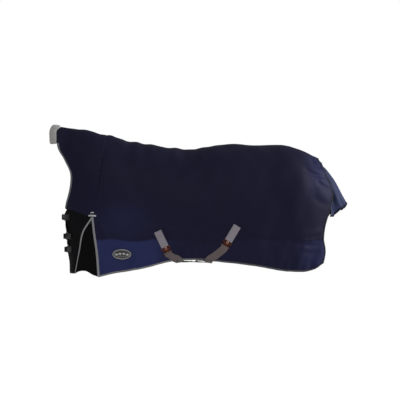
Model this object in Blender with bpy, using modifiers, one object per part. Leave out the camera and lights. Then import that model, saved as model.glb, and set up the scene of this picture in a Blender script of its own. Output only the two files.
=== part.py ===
"""Turnout rug: a quilted horse rug with a shoulder gusset, a tail flap and crossed surcingles.

Metres, +Z up. The horse faces -X and its near (left) side is -Y. The origin is the rug's
topline at the withers. The panels lie on one smooth form, given by half_width(x, z).
"""

import math

import bmesh
import bpy
import numpy as np
from mathutils import Matrix, Vector
from mathutils.bvhtree import BVHTree

COLLECTION = "turnout_rug"
SIDES = {"near": -1.0, "far": 1.0}

# Side outlines as (x, z), read from front to back or from top to bottom.
TOPLINE = [
    (-0.70, 0.128), (-0.59, 0.1245), (-0.47, 0.105), (-0.31, 0.072), (-0.08, 0.013),
    (0.00, 0.000), (0.24, -0.026), (0.47, 0.000), (0.71, 0.000), (0.94, -0.013),
    (1.06, -0.062), (1.14, -0.118), (1.22, -0.230),
]
REAR_EDGE = [
    (1.105, -0.0930), (1.142, -0.180), (1.171, -0.2515), (1.189, -0.330), (1.171, -0.429),
    (1.140, -0.557), (1.134, -0.610), (1.146, -0.700), (1.128, -0.770),
]
HEM = [
    (-0.333, -0.861), (-0.236, -0.838), (-0.118, -0.819), (0.000, -0.7925), (0.118, -0.760),
    (0.275, -0.741), (0.472, -0.760), (0.707, -0.7925), (0.904, -0.823), (1.061, -0.812),
    (1.128, -0.770),
]
NECK_EDGE = [
    (-0.590, 0.1245), (-0.612, 0.098), (-0.614, 0.050), (-0.606, -0.020), (-0.561, -0.098),
    (-0.521, -0.187), (-0.525, -0.283), (-0.550, -0.380), (-0.5585, -0.415),
]
SHOULDER_SEAM = [(-0.290, 0.0675), (-0.318, -0.160), (-0.375, -0.472)]
GUSSET_FRONT = [(-0.375, -0.472), (-0.435, -0.565), (-0.463, -0.703), (-0.490, -0.840)]
GUSSET_REAR = [(-0.375, -0.472), (-0.3635, -0.572), (-0.345, -0.700), (-0.333, -0.861)]
CHEST_TIP = (-0.516, -0.840)
CHEST_FRONT = [
    (-0.90, -0.5164), (-0.70, -0.5352), (-0.54, -0.5502), (-0.465, -0.5640), (-0.38, -0.592),
    (-0.28, -0.660), (-0.10, -0.900), (0.20, -1.300),
]

# The form: half widths along x, and how deep the round of the back is.
HALF_WIDTHS = [
    (-0.70, 0.070), (-0.50, 0.105), (-0.35, 0.170), (-0.15, 0.240), (0.10, 0.285),
    (0.40, 0.305), (0.80, 0.300), (1.00, 0.268), (1.10, 0.222), (1.22, 0.140),
]
NECK_CROWN = 0.20
BODY_CROWN = 0.42
CROWN_START = -0.60
SHOULDER_LEAN = 0.50
SHOULDER_SPAN = 0.90
CHEST_BACK = -0.25
CHEST_FLAP_MARGIN = 0.0003
CHEST_SPLIT_TOP = -0.465
CHEST_FLARE = 0.030
SKIRT_TAPER = 0.10
FLAP_HALF_GAP = 0.008

# Cloth thicknesses and the clearances between what lies together.
OUTER_THICK = 0.0012
WADDING_THICK = 0.0060
LINING_THICK = 0.0008
LAYER_GAP = 0.0004
SEAM_GAP = 0.0006
SPINE_GAP = 0.0014
BINDING_LEG = 0.014
BINDING_THICK = 0.0008
CORNER_FAN = 0.12
TAPE_THICK = 0.0010
TAPE_LIFT = 0.0009
TAPE_REACH = 0.0075
CREST_WIDTH = 0.045
CREST_THICK = 0.012
CREST_RISE = 0.004
CREST_ROWS = 4

# Grid lines along each panel, as fractions of its length.
UPPER_ROWS = [0.0, 0.02, 0.08, 0.18, 0.26, 0.40, 0.56, 0.76, 0.974, 1.0]
LOWER_ROWS = [0.0, 0.036, 0.13, 0.30, 0.60, 0.909, 0.964, 1.0]
NECK_TOP_COLUMNS = [0.0, 0.046, 0.115, 0.30, 0.52, 0.75, 0.955, 1.0]
CHEST_SEAM_COLUMNS = [0.0, 0.035, 0.090, 0.20, 0.42, 0.68, 0.93, 1.0]
CHEST_TIP_COLUMNS = [0.0, 0.030, 0.120, 0.28, 0.50, 0.74, 0.93, 1.0]
BODY_COLUMNS = [0.0, 0.01, 0.09, 0.19, 0.29, 0.39, 0.49, 0.59, 0.68, 0.77, 0.85, 0.92, 0.975, 0.99, 1.0]
GUSSET_COLUMNS = [0.0, 0.50, 1.0]
BODY_APEX = len(UPPER_ROWS) - 1
APEX_SHARE = 0.55
CURVE_SAMPLES = 200

# Directions that choose the diagonals of the grids' cells.
PANEL_SPLIT = (1.0, 0.0, -1.0)
FLAP_SPLIT = (0.0, 1.5, -0.7)

# Tail flap: its centre line, its side edges and where it hangs from.
FLAP_CENTRE = [(1.161, -0.134), (1.206, -0.198), (1.259, -0.305), (1.303, -0.385)]
FLAP_SIDE_BOTTOM = -0.470
FLAP_STAND_OFF = 0.0090
FLAP_FREE_BY = 0.10
FLAP_TUCK = 0.92
FLAP_BINDING_GAP = 0.0015
FLAP_ROWS = [0.0, 0.07, 0.26, 0.50, 0.74, 0.95, 1.0]
FLAP_COLUMNS = [0.0, 0.34, 0.62, 0.88, 1.0]
FLAP_TOP_ROWS = len(FLAP_COLUMNS)

# Surcingles: webbing, fittings and routes on the near side as (x, z).
WEBBING = 0.050
WEBBING_THICK = 0.0015
STRAP_LIFT = 0.0006
RAY_START = 0.05
RISE_SAMPLES = 7
SURCINGLES = {
    "front": {"top": (0.052, -0.563), "fitting": (0.110, -0.6845), "hem_x": 0.188},
    "rear": {"top": (0.570, -0.5285), "fitting": (0.496, -0.652), "hem_x": 0.386},
}
ANCHOR_LENGTH = 0.078
SHORT_STRAP = 0.034
PIVOT_GAP = 0.0007
FITTING_THICK = 0.0024
FITTING_LIFT = 0.0008
PLATE_SIZE = (0.062, 0.020)
PLATE_SLOT = (0.046, 0.008)
HOOK_HEAD = (0.044, 0.008)
HOOK_STEM = (0.014, 0.005)
HOOK_LOOP = (0.060, 0.014)
HOOK_SLOT = (0.052, 0.005)
BELLY_LEAD = 0.012
BELLY_DROP = 0.0140
HEM_TURN = 0.016
CROSSING_GAP = 0.0030
HEM_CLEARANCE = 0.0046
FAR_END_DROP = 0.0040
FAR_ANCHOR_LENGTH = 0.180
DOWN_POINTS = (0.35, 0.70)
NEAR_TURN = (0.2, 0.6)
FAR_TURN = (0.3, 0.85)
ADJUSTER_SIZE = (0.062, 0.022, 0.0065)
ADJUSTER_PLACE = 0.135
ADJUSTER_PLAY = (0.0016, 0.0010)
FITTING_CHAMFER = 0.004

# Chest closures: three buckled straps across the front.
CLOSURE_HEIGHTS = {"top": -0.472, "middle": -0.598, "bottom": -0.6845}
CHEST_WEBBING = 0.038
CHEST_STRAP_ENDS = (0.070, -0.075)
CHAPE_ENDS = (-0.030, -0.095)
CHAPE_LIFT = 0.0006
CHEST_ROUND = 0.020
CLOSURE_POINTS = 12
CHAPE_POINTS = 6
STRAP_STEP_START = 0.045
STRAP_STEP = 0.050
CLOSURE_BED = LAYER_GAP + BINDING_THICK
BUCKLE_HEIGHT = 0.046
BUCKLE_LENGTH = 0.028
BUCKLE_WIRE = 0.0016
BUCKLE_Y = -0.016
BUCKLE_SETTLE = 0.0006
TONGUE_WIRE = 0.0009
TONGUE_PLAY = 0.00035
TAIL_WIDTH = 0.030
TAIL_GAP = 0.0008
TAIL_LENGTHS = {"top": 0.072, "middle": 0.030}
TAIL_Y = -0.020

BADGE_CENTRE = (-0.180, -0.713)
BADGE_SIZE = (0.125, 0.068, 0.0020)
BADGE_LIFT = 0.0004
TAB_CENTRE = (-0.378, -0.4525)
TAB_SIZE = (0.050, 0.028)


def smooth(knots, at):
    """Value at `at` of the cubic curve through (position, value) knots."""
    positions, values = np.array(sorted(knots)).T
    slopes = np.gradient(values, positions)
    at = np.clip(np.asarray(at, float), positions[0], positions[-1])
    left = np.clip(np.searchsorted(positions, at) - 1, 0, len(positions) - 2)
    span = positions[left + 1] - positions[left]
    t = (at - positions[left]) / span
    rise = values[left] * (1 + 2 * t) * (1 - t) ** 2 + values[left + 1] * t * t * (3 - 2 * t)
    return rise + span * (slopes[left] * t * (1 - t) ** 2 - slopes[left + 1] * t * t * (1 - t))


def along(knots, fractions):
    """Points at the fractions of the length of the smooth curve through the (x, z) knots."""
    knots = np.array(knots)
    steps = np.linalg.norm(np.diff(knots, axis=0), axis=1)
    travelled = np.concatenate([[0.0], np.cumsum(steps)])
    fine = np.linspace(0.0, travelled[-1], CURVE_SAMPLES)
    curve = np.stack([smooth(list(zip(travelled, knots[:, axis])), fine) for axis in (0, 1)], axis=1)
    lengths = np.concatenate([[0.0], np.cumsum(np.linalg.norm(np.diff(curve, axis=0), axis=1))])
    wanted = np.array(fractions) * lengths[-1]
    return np.stack([np.interp(wanted, lengths, curve[:, axis]) for axis in (0, 1)], axis=1)


def ease(value):
    """Smooth step from 0 to 1."""
    value = np.clip(value, 0.0, 1.0)
    return value * value * (3 - 2 * value)


def round_off(value):
    """Quarter ellipse: 0 at 0, 1 at 1 and beyond, upright at 0."""
    return np.sqrt(1 - (1 - np.clip(value, 0.0, 1.0)) ** 2)


def half_width(x, z):
    """Distance of the rug's outer face from the centre plane."""
    depth = smooth(TOPLINE, x) - z
    lean = SHOULDER_LEAN * np.maximum(depth, 0.0) * np.clip(0.5 - x / SHOULDER_SPAN, 0.0, 1.0)
    crown = NECK_CROWN + (BODY_CROWN - NECK_CROWN) * ease((x - CROWN_START) / -CROWN_START)
    side = smooth(HALF_WIDTHS, x + lean) * round_off(depth / crown)
    side = side * (1 - SKIRT_TAPER * np.clip((depth - crown) / BODY_CROWN, 0.0, 1.0) ** 2)
    front = smooth(CHEST_FRONT, z)
    return side * round_off((x - front) / (CHEST_BACK - front))


def outward(x, z, step=0.0004):
    """Unit normals of the near side's outer face."""
    z = np.minimum(z, smooth(TOPLINE, x) - 0.002)
    x = np.maximum(x, smooth(CHEST_FRONT, z) + 0.001)
    slope_x = (half_width(x + step, z) - half_width(x - step, z)) / (2 * step)
    slope_z = (half_width(x, z + step) - half_width(x, z - step)) / (2 * step)
    normals = np.stack([-slope_x, -np.ones_like(slope_x), -slope_z], axis=-1)
    return normals / np.linalg.norm(normals, axis=-1, keepdims=True)


def chest_edge(fractions):
    """Side outline of a chest flap's front edge, from the neck opening to the tip."""
    z = NECK_EDGE[-1][1] + np.array(fractions) * (CHEST_TIP[1] - NECK_EDGE[-1][1])
    flare = CHEST_FLARE * ease((z - CHEST_SPLIT_TOP) / (NECK_EDGE[-1][1] - CHEST_SPLIT_TOP))
    return np.stack([smooth(CHEST_FRONT, z) + CHEST_FLAP_MARGIN + flare, z], axis=1)


def fill(top, bottom, left, right, top_columns, bottom_columns, rows):
    """Grid of points that fills the four edges, which are sampled at the columns and rows."""
    grid = np.zeros((len(rows), len(top_columns), len(top[0])))
    for i, down in enumerate(rows):
        for j, (u_top, u_bottom) in enumerate(zip(top_columns, bottom_columns)):
            across = (1 - down) * u_top + down * u_bottom
            ruled = (1 - down) * top[j] + down * bottom[j] + (1 - across) * left[i] + across * right[i]
            corners = (1 - down) * ((1 - across) * top[0] + across * top[-1])
            corners = corners + down * ((1 - across) * bottom[0] + across * bottom[-1])
            grid[i, j] = ruled - corners
    return grid


def draw_in(grid):
    """Pulls the lower and side edges in by half a seam gap."""
    pull = SEAM_GAP / 2
    edges = [((-1, slice(None)), (-2, slice(None)))]
    edges += [((slice(None), 0), (slice(None), 1)), ((slice(None), -1), (slice(None), -2))]
    for edge, inner in edges:
        way = grid[inner] - grid[edge]
        grid[edge] += way * pull / np.linalg.norm(way, axis=1, keepdims=True)


class Panel:
    """One near-side panel: a grid on the form, its normals and the stretch that is padded."""

    def __init__(self, grid, padded_rows, padded_columns, at_spine=False):
        draw_in(grid)
        x, z = grid[..., 0], grid[..., 1]
        y = -np.maximum(half_width(x, z), FLAP_HALF_GAP)
        normals = outward(x, z)
        if at_spine:
            y[0] = -SPINE_GAP / 2
            normals[0, :, 1] = 0.0
            normals[0] /= np.linalg.norm(normals[0], axis=1, keepdims=True)
        self.points = np.stack([x, y, z], axis=-1)
        self.normals = normals
        self.padded = np.zeros(x.shape, bool)
        self.padded[slice(*padded_rows), slice(*padded_columns)] = True

    def at(self, offset):
        """The grid moved along its normals; the offset is one number or one for each point."""
        return self.points + self.normals * np.asarray(offset)[..., None]

    def lining(self):
        """The lining's outer face: behind the wadding, and up against the cloth elsewhere."""
        thin = OUTER_THICK + LAYER_GAP
        face = self.at(np.where(self.padded, -(thin + WADDING_THICK + LAYER_GAP), -thin))
        for edge, inner in ((0, 1), (-1, -2)):
            face[:, edge] += unit(face[:, inner] - face[:, edge]) * SEAM_GAP
        return face

    def wadding(self):
        """The wadding's outer face, over the padded stretch only."""
        rows = np.where(self.padded.any(axis=1))[0]
        columns = np.where(self.padded.any(axis=0))[0]
        face = self.at(-(OUTER_THICK + LAYER_GAP))
        return face[rows[0]:rows[-1] + 1, columns[0]:columns[-1] + 1]


def neck_panel():
    seam = [NECK_EDGE[-1], GUSSET_FRONT[0]]
    top_x = NECK_EDGE[0][0] + np.array(NECK_TOP_COLUMNS) * (SHOULDER_SEAM[0][0] - NECK_EDGE[0][0])
    top = np.stack([top_x, smooth(TOPLINE, top_x)], axis=1)
    left = along(NECK_EDGE, UPPER_ROWS)
    right = along(SHOULDER_SEAM, UPPER_ROWS)
    left[0], right[0] = top[0], top[-1]
    bottom = along(seam, CHEST_SEAM_COLUMNS)
    grid = fill(top, bottom, left, right, NECK_TOP_COLUMNS, CHEST_SEAM_COLUMNS, UPPER_ROWS)
    return Panel(grid, (0, -1), (2, -1), at_spine=True)


def body_panel():
    rows = [value * APEX_SHARE for value in UPPER_ROWS]
    rows += [APEX_SHARE + value * (1 - APEX_SHARE) for value in LOWER_ROWS[1:]]
    top_x = SHOULDER_SEAM[0][0] + np.array(BODY_COLUMNS) * (REAR_EDGE[0][0] - SHOULDER_SEAM[0][0])
    top = np.stack([top_x, smooth(TOPLINE, top_x)], axis=1)
    left = np.concatenate([along(SHOULDER_SEAM, UPPER_ROWS), along(GUSSET_REAR, LOWER_ROWS)[1:]])
    right = along(REAR_EDGE, rows)
    left[0], right[0] = top[0], top[-1]
    bottom = along(HEM, BODY_COLUMNS)
    grid = fill(top, bottom, left, right, BODY_COLUMNS, BODY_COLUMNS, rows)
    return Panel(grid, (0, -2), (1, -2), at_spine=True)


def chest_panel():
    top = along([NECK_EDGE[-1], GUSSET_FRONT[0]], CHEST_SEAM_COLUMNS)
    left = chest_edge(LOWER_ROWS)
    right = along(GUSSET_FRONT, LOWER_ROWS)
    left[0] = top[0]
    bottom = along([left[-1], right[-1]], CHEST_TIP_COLUMNS)
    grid = fill(top, bottom, left, right, CHEST_SEAM_COLUMNS, CHEST_TIP_COLUMNS, LOWER_ROWS)
    grid[0] += (grid[1] - grid[0]) * (SEAM_GAP / BINDING_LEG)
    return Panel(grid, (0, 0), (0, 0))


def gusset_panel():
    left = along(GUSSET_FRONT, LOWER_ROWS)
    right = along(GUSSET_REAR, LOWER_ROWS)
    start = LOWER_ROWS[1]
    left, right = left[1:], right[1:]
    rows = [(value - start) / (1 - start) for value in LOWER_ROWS[1:]]
    top = along([left[0], right[0]], GUSSET_COLUMNS)
    bottom = along([left[-1], right[-1]], GUSSET_COLUMNS)
    grid = fill(top, bottom, left, right, GUSSET_COLUMNS, GUSSET_COLUMNS, rows)
    return Panel(grid, (0, 0), (0, 0))


def clear_scene():
    for item in list(bpy.data.objects):
        bpy.data.objects.remove(item, do_unlink=True)
    for name in (COLLECTION, "cutters"):
        bpy.context.scene.collection.children.link(bpy.data.collections.new(name))


def material(name, colour, roughness, metallic=0.0):
    made = bpy.data.materials.new(name)
    made.use_nodes = True
    shader = made.node_tree.nodes["Principled BSDF"]
    shader.inputs["Base Color"].default_value = (*colour, 1.0)
    shader.inputs["Roughness"].default_value = roughness
    shader.inputs["Metallic"].default_value = metallic
    return made


LOOKS = {
    "navy": ((0.011, 0.012, 0.028), 0.75, 0.0),
    "black": ((0.006, 0.005, 0.006), 0.80, 0.0),
    "wadding": ((0.75, 0.75, 0.73), 0.95, 0.0),
    "lining": ((0.020, 0.021, 0.040), 0.55, 0.0),
    "grey": ((0.24, 0.23, 0.22), 0.85, 0.0),
    "webbing": ((0.16, 0.14, 0.17), 0.80, 0.0),
    "copper": ((0.070, 0.022, 0.012), 0.35, 1.0),
    "steel": ((0.55, 0.54, 0.54), 0.30, 1.0),
}


def dress(item, look):
    """Gives the object its own material and moves it to the object's collection."""
    item.data.materials.clear()
    item.data.materials.append(material(item.name, *LOOKS[look]))
    for owner in list(item.users_collection):
        owner.objects.unlink(item)
    bpy.data.collections[COLLECTION].objects.link(item)
    return item


def mesh_object(name, build, look):
    """Object whose mesh the function fills in."""
    mesh = bpy.data.meshes.new(name)
    shape = bmesh.new()
    build(shape)
    shape.to_mesh(mesh)
    shape.free()
    item = bpy.data.objects.new(name, mesh)
    bpy.data.collections[COLLECTION].objects.link(item)
    return dress(item, look)


def halves(corners, split):
    """Two triangles of a quad, cut along the diagonal that is longer measured along `split`.

    Layers that lie on each other are cut alike, so they stay clear of each other."""
    a, b, c, d = corners
    reach = [vertex.co.dot(split) for vertex in corners]
    if abs(reach[2] - reach[0]) > abs(reach[3] - reach[1]):
        return ((a, b, c), (a, c, d))
    return ((a, b, d), (b, c, d))


def sheet(name, grid, facing, thickness, look, outside=False, split=PANEL_SPLIT):
    """Open grid of points, thickened by Solidify away from the way its first cell faces.

    With `outside` it is thickened towards that way."""
    first = np.cross(grid[0][1] - grid[0][0], grid[1][0] - grid[0][0])
    flip = first @ np.array(facing) > 0

    def build(shape):
        rows = [[shape.verts.new(point) for point in row] for row in grid]
        for upper, lower in zip(rows, rows[1:]):
            for corners in zip(upper, upper[1:], lower[1:], lower):
                for face in halves(corners, Vector(split)):
                    shape.faces.new(face if flip else face[::-1])

    item = mesh_object(name, build, look)
    solid = item.modifiers.new("thickness", "SOLIDIFY")
    solid.thickness = thickness
    solid.offset = 1.0 if outside else -1.0
    solid.use_even_offset = outside
    return item


def on_side(grid, side):
    """The near-side points, or their mirror image for the far side."""
    return np.array(grid, float) * np.array([1.0, -SIDES[side], 1.0])


def over_spine(grid):
    """The near-side grid and its mirror image as one grid, joined along the spine."""
    near = np.array(grid)
    near[0, :, 1] = 0.0
    return np.concatenate([near[::-1], (near * np.array([1.0, -1.0, 1.0]))[1:]])


def add_outers(panels, side):
    """Outer cloth of the panels on one side, with the chest flap's lining."""
    looks = {"neck": "navy", "body": "navy", "chest": "black", "gusset": "black"}
    for part, panel in panels.items():
        name = f"{part}_outer_{side}" if part != "gusset" else f"gusset_{side}"
        facing = on_side(panel.normals[0, 0], side)
        sheet(name, on_side(panel.points, side), facing, OUTER_THICK, looks[part])
    chest = panels["chest"]
    facing = on_side(chest.normals[0, 0], side)
    sheet(f"chest_lining_{side}", on_side(chest.lining(), side), facing, LINING_THICK, "lining")


def add_inner_layers(panels):
    """Wadding and lining, which run over the spine in one piece."""
    for part in ("neck", "body"):
        panel = panels[part]
        facing = panel.normals[-1, 0]
        sheet(f"{part}_wadding", over_spine(panel.wadding()), facing, WADDING_THICK, "wadding")
        sheet(f"{part}_lining", over_spine(panel.lining()), facing, LINING_THICK, "lining")


def unit(vectors):
    return vectors / np.linalg.norm(vectors, axis=-1, keepdims=True)


def binding_section(edge, inner, edge_normals, inner_normals, gap=LAYER_GAP):
    """U-shaped grid that runs over an edge: outside leg, round the edge, inside leg."""
    beyond = edge - unit(inner - edge) * gap
    above = gap
    gap_below = OUTER_THICK + LAYER_GAP + LINING_THICK + gap
    return np.stack([
        inner + inner_normals * above,
        beyond + edge_normals * above,
        beyond - edge_normals * gap_below,
        inner - inner_normals * gap_below,
    ])


def chain(grid, parts):
    """Edge points of a grid and the points one leg further in, along the named edges."""
    edge, inner = [], []
    last_row, last_column = len(grid) - 1, len(grid[0]) - 1
    for part, first, last in parts:
        if part == "left":
            edge += [grid[i][0] for i in range(first, last + 1)]
            inner += [grid[i][1] for i in range(first, last + 1)]
        elif part == "right":
            edge += [grid[i][last_column] for i in range(first, last + 1)]
            inner += [grid[i][last_column - 1] for i in range(first, last + 1)]
        else:
            columns = range(first, last + (1 if last >= first else -1), 1 if last >= first else -1)
            edge += [grid[last_row][j] for j in columns]
            inner += [grid[last_row - 1][j] for j in columns]
    return edge, inner


def corner(grid, column, inner_column):
    """Edge and inner points round a lower corner, from the side edge into the bottom edge.

    The inner points fan out a little from the corner's own, so that no cell is flat."""
    own = grid[-2][inner_column]
    beside = grid[-2][2 * inner_column - column]
    above = grid[-3][inner_column]
    edge = [grid[-2][column], grid[-1][column], grid[-1][inner_column]]
    inner = [own + (above - own) * CORNER_FAN, own, own + (beside - own) * CORNER_FAN]
    return edge, inner


def run_binding(name, panel, pieces, side, look):
    """Binding along the pieces of edge, as one U-shaped strip."""
    points, normals = panel.at(0.0), panel.normals
    lines = []
    for grid in (points, normals):
        edge, inner = [], []
        for piece in pieces:
            more = corner(grid, *piece[1:]) if piece[0] == "corner" else chain(grid, [piece])
            edge += list(more[0])
            inner += list(more[1])
        lines.append((np.array(edge), np.array(inner)))
    (edge, inner), (edge_normals, inner_normals) = lines
    section = binding_section(edge, inner, unit(edge_normals), unit(inner_normals))
    section = on_side(section, side)
    return sheet(name, section, on_side(inner_normals[0], side), BINDING_THICK, look, outside=True)


def add_bindings(panels, side):
    """Bindings of the neck opening, the chest flap, the rear edge and the hem."""
    rows, columns = panels["body"].points.shape[:2]
    hem = [("right", 0, rows - 3), ("corner", columns - 1, columns - 2), ("bottom", columns - 3, 0)]
    run_binding(f"hem_binding_{side}", panels["body"], hem, side, "grey")
    neck = [("left", CREST_ROWS, BODY_APEX)]
    run_binding(f"neck_binding_{side}", panels["neck"], neck, side, "grey")
    rows, columns = panels["chest"].points.shape[:2]
    chest = [("left", 0, rows - 3), ("corner", 0, 1), ("bottom", 2, columns - 1)]
    run_binding(f"chest_binding_{side}", panels["chest"], chest, side, "black")


def tape_reach(edge, inner, normals, most):
    """Points that a tape's edge reaches beside a seam, lifted clear of the cloth."""
    way = unit(inner - edge) * np.minimum(TAPE_REACH, most)[:, None]
    return edge + way + normals * (TAPE_LIFT + TAPE_THICK)


def add_piping(panels, side):
    """Flat tapes over the gusset's two seams, from the apex to the hem."""
    body, chest, gusset = panels["body"], panels["chest"], panels["gusset"]
    width = np.linalg.norm(gusset.points[:, -1] - gusset.points[:, 0], axis=1)
    inside = width / 2 - SEAM_GAP
    outside = np.full(len(width), TAPE_REACH)
    seams = [("rear", body, 0, 1, BODY_APEX + 1, -1, -2), ("front", chest, -1, -2, 1, 0, 1)]
    for place, panel, edge, inner, start, own_edge, own_inner in seams:
        beside, normals = panel.points[start:], panel.normals[start:, edge]
        outer_reach = tape_reach(beside[:, edge], beside[:, inner], normals, outside)
        inner_reach = tape_reach(gusset.points[:, own_edge], gusset.points[:, own_inner], normals, inside)
        middle = (beside[:, edge] + gusset.points[:, own_edge]) / 2
        middle = middle + normals * (TAPE_LIFT + TAPE_THICK)
        grid = on_side(np.stack([outer_reach, middle, inner_reach], axis=1)[:-2], side)
        sheet(f"gusset_{place}_piping_{side}", grid, on_side(normals[0], side), TAPE_THICK, "grey")


def add_crest_band(neck):
    """Padded band round the top of the neck opening, over the crest and down both sides."""
    rows = slice(0, CREST_ROWS)
    edge = neck.points[rows, 0]
    forward = unit(edge - neck.points[rows, 1])
    normals = neck.normals[rows, 0]
    lift = normals * CREST_RISE
    steps = [SEAM_GAP, CREST_WIDTH * 0.3, CREST_WIDTH * 0.7, CREST_WIDTH]
    near = np.stack([edge + forward * step + lift for step in steps], axis=1)
    near[0, :, 1] = 0.0
    far = near[1:] * np.array([1.0, -1.0, 1.0])
    grid = np.concatenate([near[::-1], far])
    return sheet("crest_band", grid, normals[-1], CREST_THICK, "grey")


def flap_top(body):
    """The flap's top edge on the far side: just past the binding of the rug's rear edge."""
    edge, inner = body.points[:FLAP_TOP_ROWS, -1], body.points[:FLAP_TOP_ROWS, -2]
    past = LAYER_GAP + BINDING_THICK + SEAM_GAP
    top = (edge + unit(edge - inner) * past) * np.array([1.0, -1.0, 1.0])
    top[0, 1] = 0.0
    return top


def flap_grid(body):
    """Tail flap's outer face, from one side edge round the tail to the other."""
    rows, across = np.array(FLAP_ROWS), np.array(FLAP_COLUMNS)
    top = flap_top(body)
    middle = along([top[0, [0, 2]], *FLAP_CENTRE], FLAP_ROWS)
    centre = np.stack([middle[:, 0], 0.0 * rows, middle[:, 1]], axis=1)
    heights = top[-1, 2] + rows * (FLAP_SIDE_BOTTOM - top[-1, 2])
    rear_x = np.interp(-heights, [-z for _, z in REAR_EDGE], [x for x, _ in REAR_EDGE])
    away = ease(rows / FLAP_FREE_BY)
    rear_y = half_width(rear_x, heights) * (1 - (1 - FLAP_TUCK) * rows)
    side = np.stack([rear_x + FLAP_STAND_OFF * away, rear_y, heights], axis=1)
    side += (top[-1] - side[0]) * (1 - away)[:, None]
    spread = np.stack([across**2, across, across**1.5], axis=1)
    bottom = centre[-1] + (side[-1] - centre[-1]) * spread
    half = fill(top, bottom, centre, side, across, across, rows)
    other = half[:, :0:-1] * np.array([1.0, -1.0, 1.0])
    return np.concatenate([other, half], axis=1)


def grid_normals(grid):
    down = np.gradient(grid, axis=0)
    across = np.gradient(grid, axis=1)
    return unit(np.cross(across, down))


def add_tail_flap(body):
    """Flap that hangs over the tail, with its lining and its bound edge."""
    grid = flap_grid(body)
    normals = grid_normals(grid)
    normals = normals * np.sign(normals[len(grid) // 2, grid.shape[1] // 2, 0])
    sheet("tail_flap", grid, normals[0, 0], OUTER_THICK, "navy", split=FLAP_SPLIT)
    lining = grid - normals * (OUTER_THICK + LAYER_GAP)
    sheet("tail_flap_lining", lining, normals[0, 0], LINING_THICK, "lining", split=FLAP_SPLIT)
    last = grid.shape[1] - 1
    lines = []
    for source in (grid, normals):
        left = chain(source, [("left", 1, len(FLAP_ROWS) - 3)])
        bottom = chain(source, [("bottom", 2, last - 2)])
        right = chain(source, [("right", 1, len(FLAP_ROWS) - 3)])
        first, second = corner(source, 0, 1), corner(source, last, last - 1)
        lines.append([
            np.array(left[k] + first[k] + bottom[k] + second[k][::-1] + right[k][::-1]) for k in (0, 1)
        ])
    (edge, inner), (edge_normals, inner_normals) = lines
    section = binding_section(edge, inner, unit(edge_normals), unit(inner_normals), FLAP_BINDING_GAP)
    facing = inner_normals[0]
    sheet("tail_flap_binding", section, facing, BINDING_THICK, "navy", outside=True, split=FLAP_SPLIT)


def strip_grid(centres, normals, width):
    """Two rows of points, half the width to each side of the centre points."""
    travel = unit(np.gradient(centres, axis=0))
    across = unit(np.cross(normals, travel)) * width / 2
    return np.stack([centres - across, centres + across], axis=1)


def strip(name, centres, normals, width, thickness, look):
    """Webbing along the centre points, its outer face at them, `normals` pointing out of it."""
    centres, normals = np.array(centres), unit(np.array(normals))
    return sheet(name, strip_grid(centres, normals, width), normals[0], thickness, look)


class Cloth:
    """The outer panels as flat triangles, to seat webbing and fittings on."""

    def __init__(self, panels):
        points, faces = [], []
        for side in SIDES:
            for panel in panels.values():
                grid = on_side(panel.points, side)
                rows, columns = grid.shape[:2]
                start = len(points)
                points += [Vector(point) for point in grid.reshape(-1, 3)]
                for i in range(rows - 1):
                    for j in range(columns - 1):
                        a = start + i * columns + j
                        faces += [(a, a + 1, a + columns + 1), (a, a + columns + 1, a + columns)]
        self.tree = BVHTree.FromPolygons(points, faces)

    def rise(self, centres, normals, width):
        """How far the cloth stands above a strip's centre face at most."""
        grid = strip_grid(centres, normals, width)
        most = -RAY_START
        for k in range(len(centres) - 1):
            for along_it in np.linspace(0.0, 1.0, RISE_SAMPLES):
                normal = Vector(normals[k] + (normals[k + 1] - normals[k]) * along_it).normalized()
                ends = grid[k] + (grid[k + 1] - grid[k]) * along_it
                for across in np.linspace(0.0, 1.0, RISE_SAMPLES):
                    spot = Vector(ends[0] + (ends[1] - ends[0]) * across)
                    hit = self.tree.ray_cast(spot + normal * RAY_START, -normal)
                    if hit[3] is not None:
                        most = max(most, RAY_START - hit[3])
        return most


def surface_points(route, lift, side):
    """Points and normals above the form along a route of (x, z)."""
    x, z = np.array(route).T
    normals = outward(x, z)
    points = np.stack([x, -half_width(x, z), z], axis=-1) + normals * lift
    return on_side(points, side), on_side(normals, side)


def surface_strip(name, cloth, route, width, thickness, lift, side, look):
    points, normals = surface_points(route, 0.0, side)
    seat = cloth.rise(points, normals, width) + lift + thickness
    return strip(name, points + normals * seat, normals, width, thickness, look)


def straight(start, end, count):
    return [np.array(start) + (np.array(end) - np.array(start)) * k / (count - 1) for k in range(count)]


def placed(item, origin, across, normal):
    """Turns the object: its X runs across, its Z along the normal."""
    across, normal = Vector(across).normalized(), Vector(normal).normalized()
    along_it = normal.cross(across).normalized()
    turn = Matrix((normal.cross(along_it) * -1, along_it, normal)).transposed()
    item.matrix_world = Matrix.Translation(Vector(origin)) @ turn.to_4x4()
    return item


def outline_object(name, outlines, thickness, look):
    """Flat piece from closed outlines; the second and later ones are holes."""
    curve = bpy.data.curves.new(name, "CURVE")
    curve.dimensions = "2D"
    curve.fill_mode = "BOTH"
    curve.extrude = thickness / 2
    for outline in outlines:
        spline = curve.splines.new("POLY")
        spline.points.add(len(outline) - 1)
        for point, (x, y) in zip(spline.points, outline):
            point.co = (x, y, 0.0, 1.0)
        spline.use_cyclic_u = True
    item = bpy.data.objects.new(name, curve)
    bpy.data.collections[COLLECTION].objects.link(item)
    return dress(item, look)


def rectangle(width, length, centre=0.0, chamfer=0.0):
    """Corners of a rectangle with cut corners, centred at (0, centre)."""
    w, l, c = width / 2, length / 2, chamfer
    if not c:
        return [(-w, centre - l), (w, centre - l), (w, centre + l), (-w, centre + l)]
    half = [(w - c, -l), (w, -l + c), (w, l - c), (w - c, l)]
    return [(x, centre + y) for x, y in half] + [(-x, centre + y) for x, y in half[::-1]]


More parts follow.
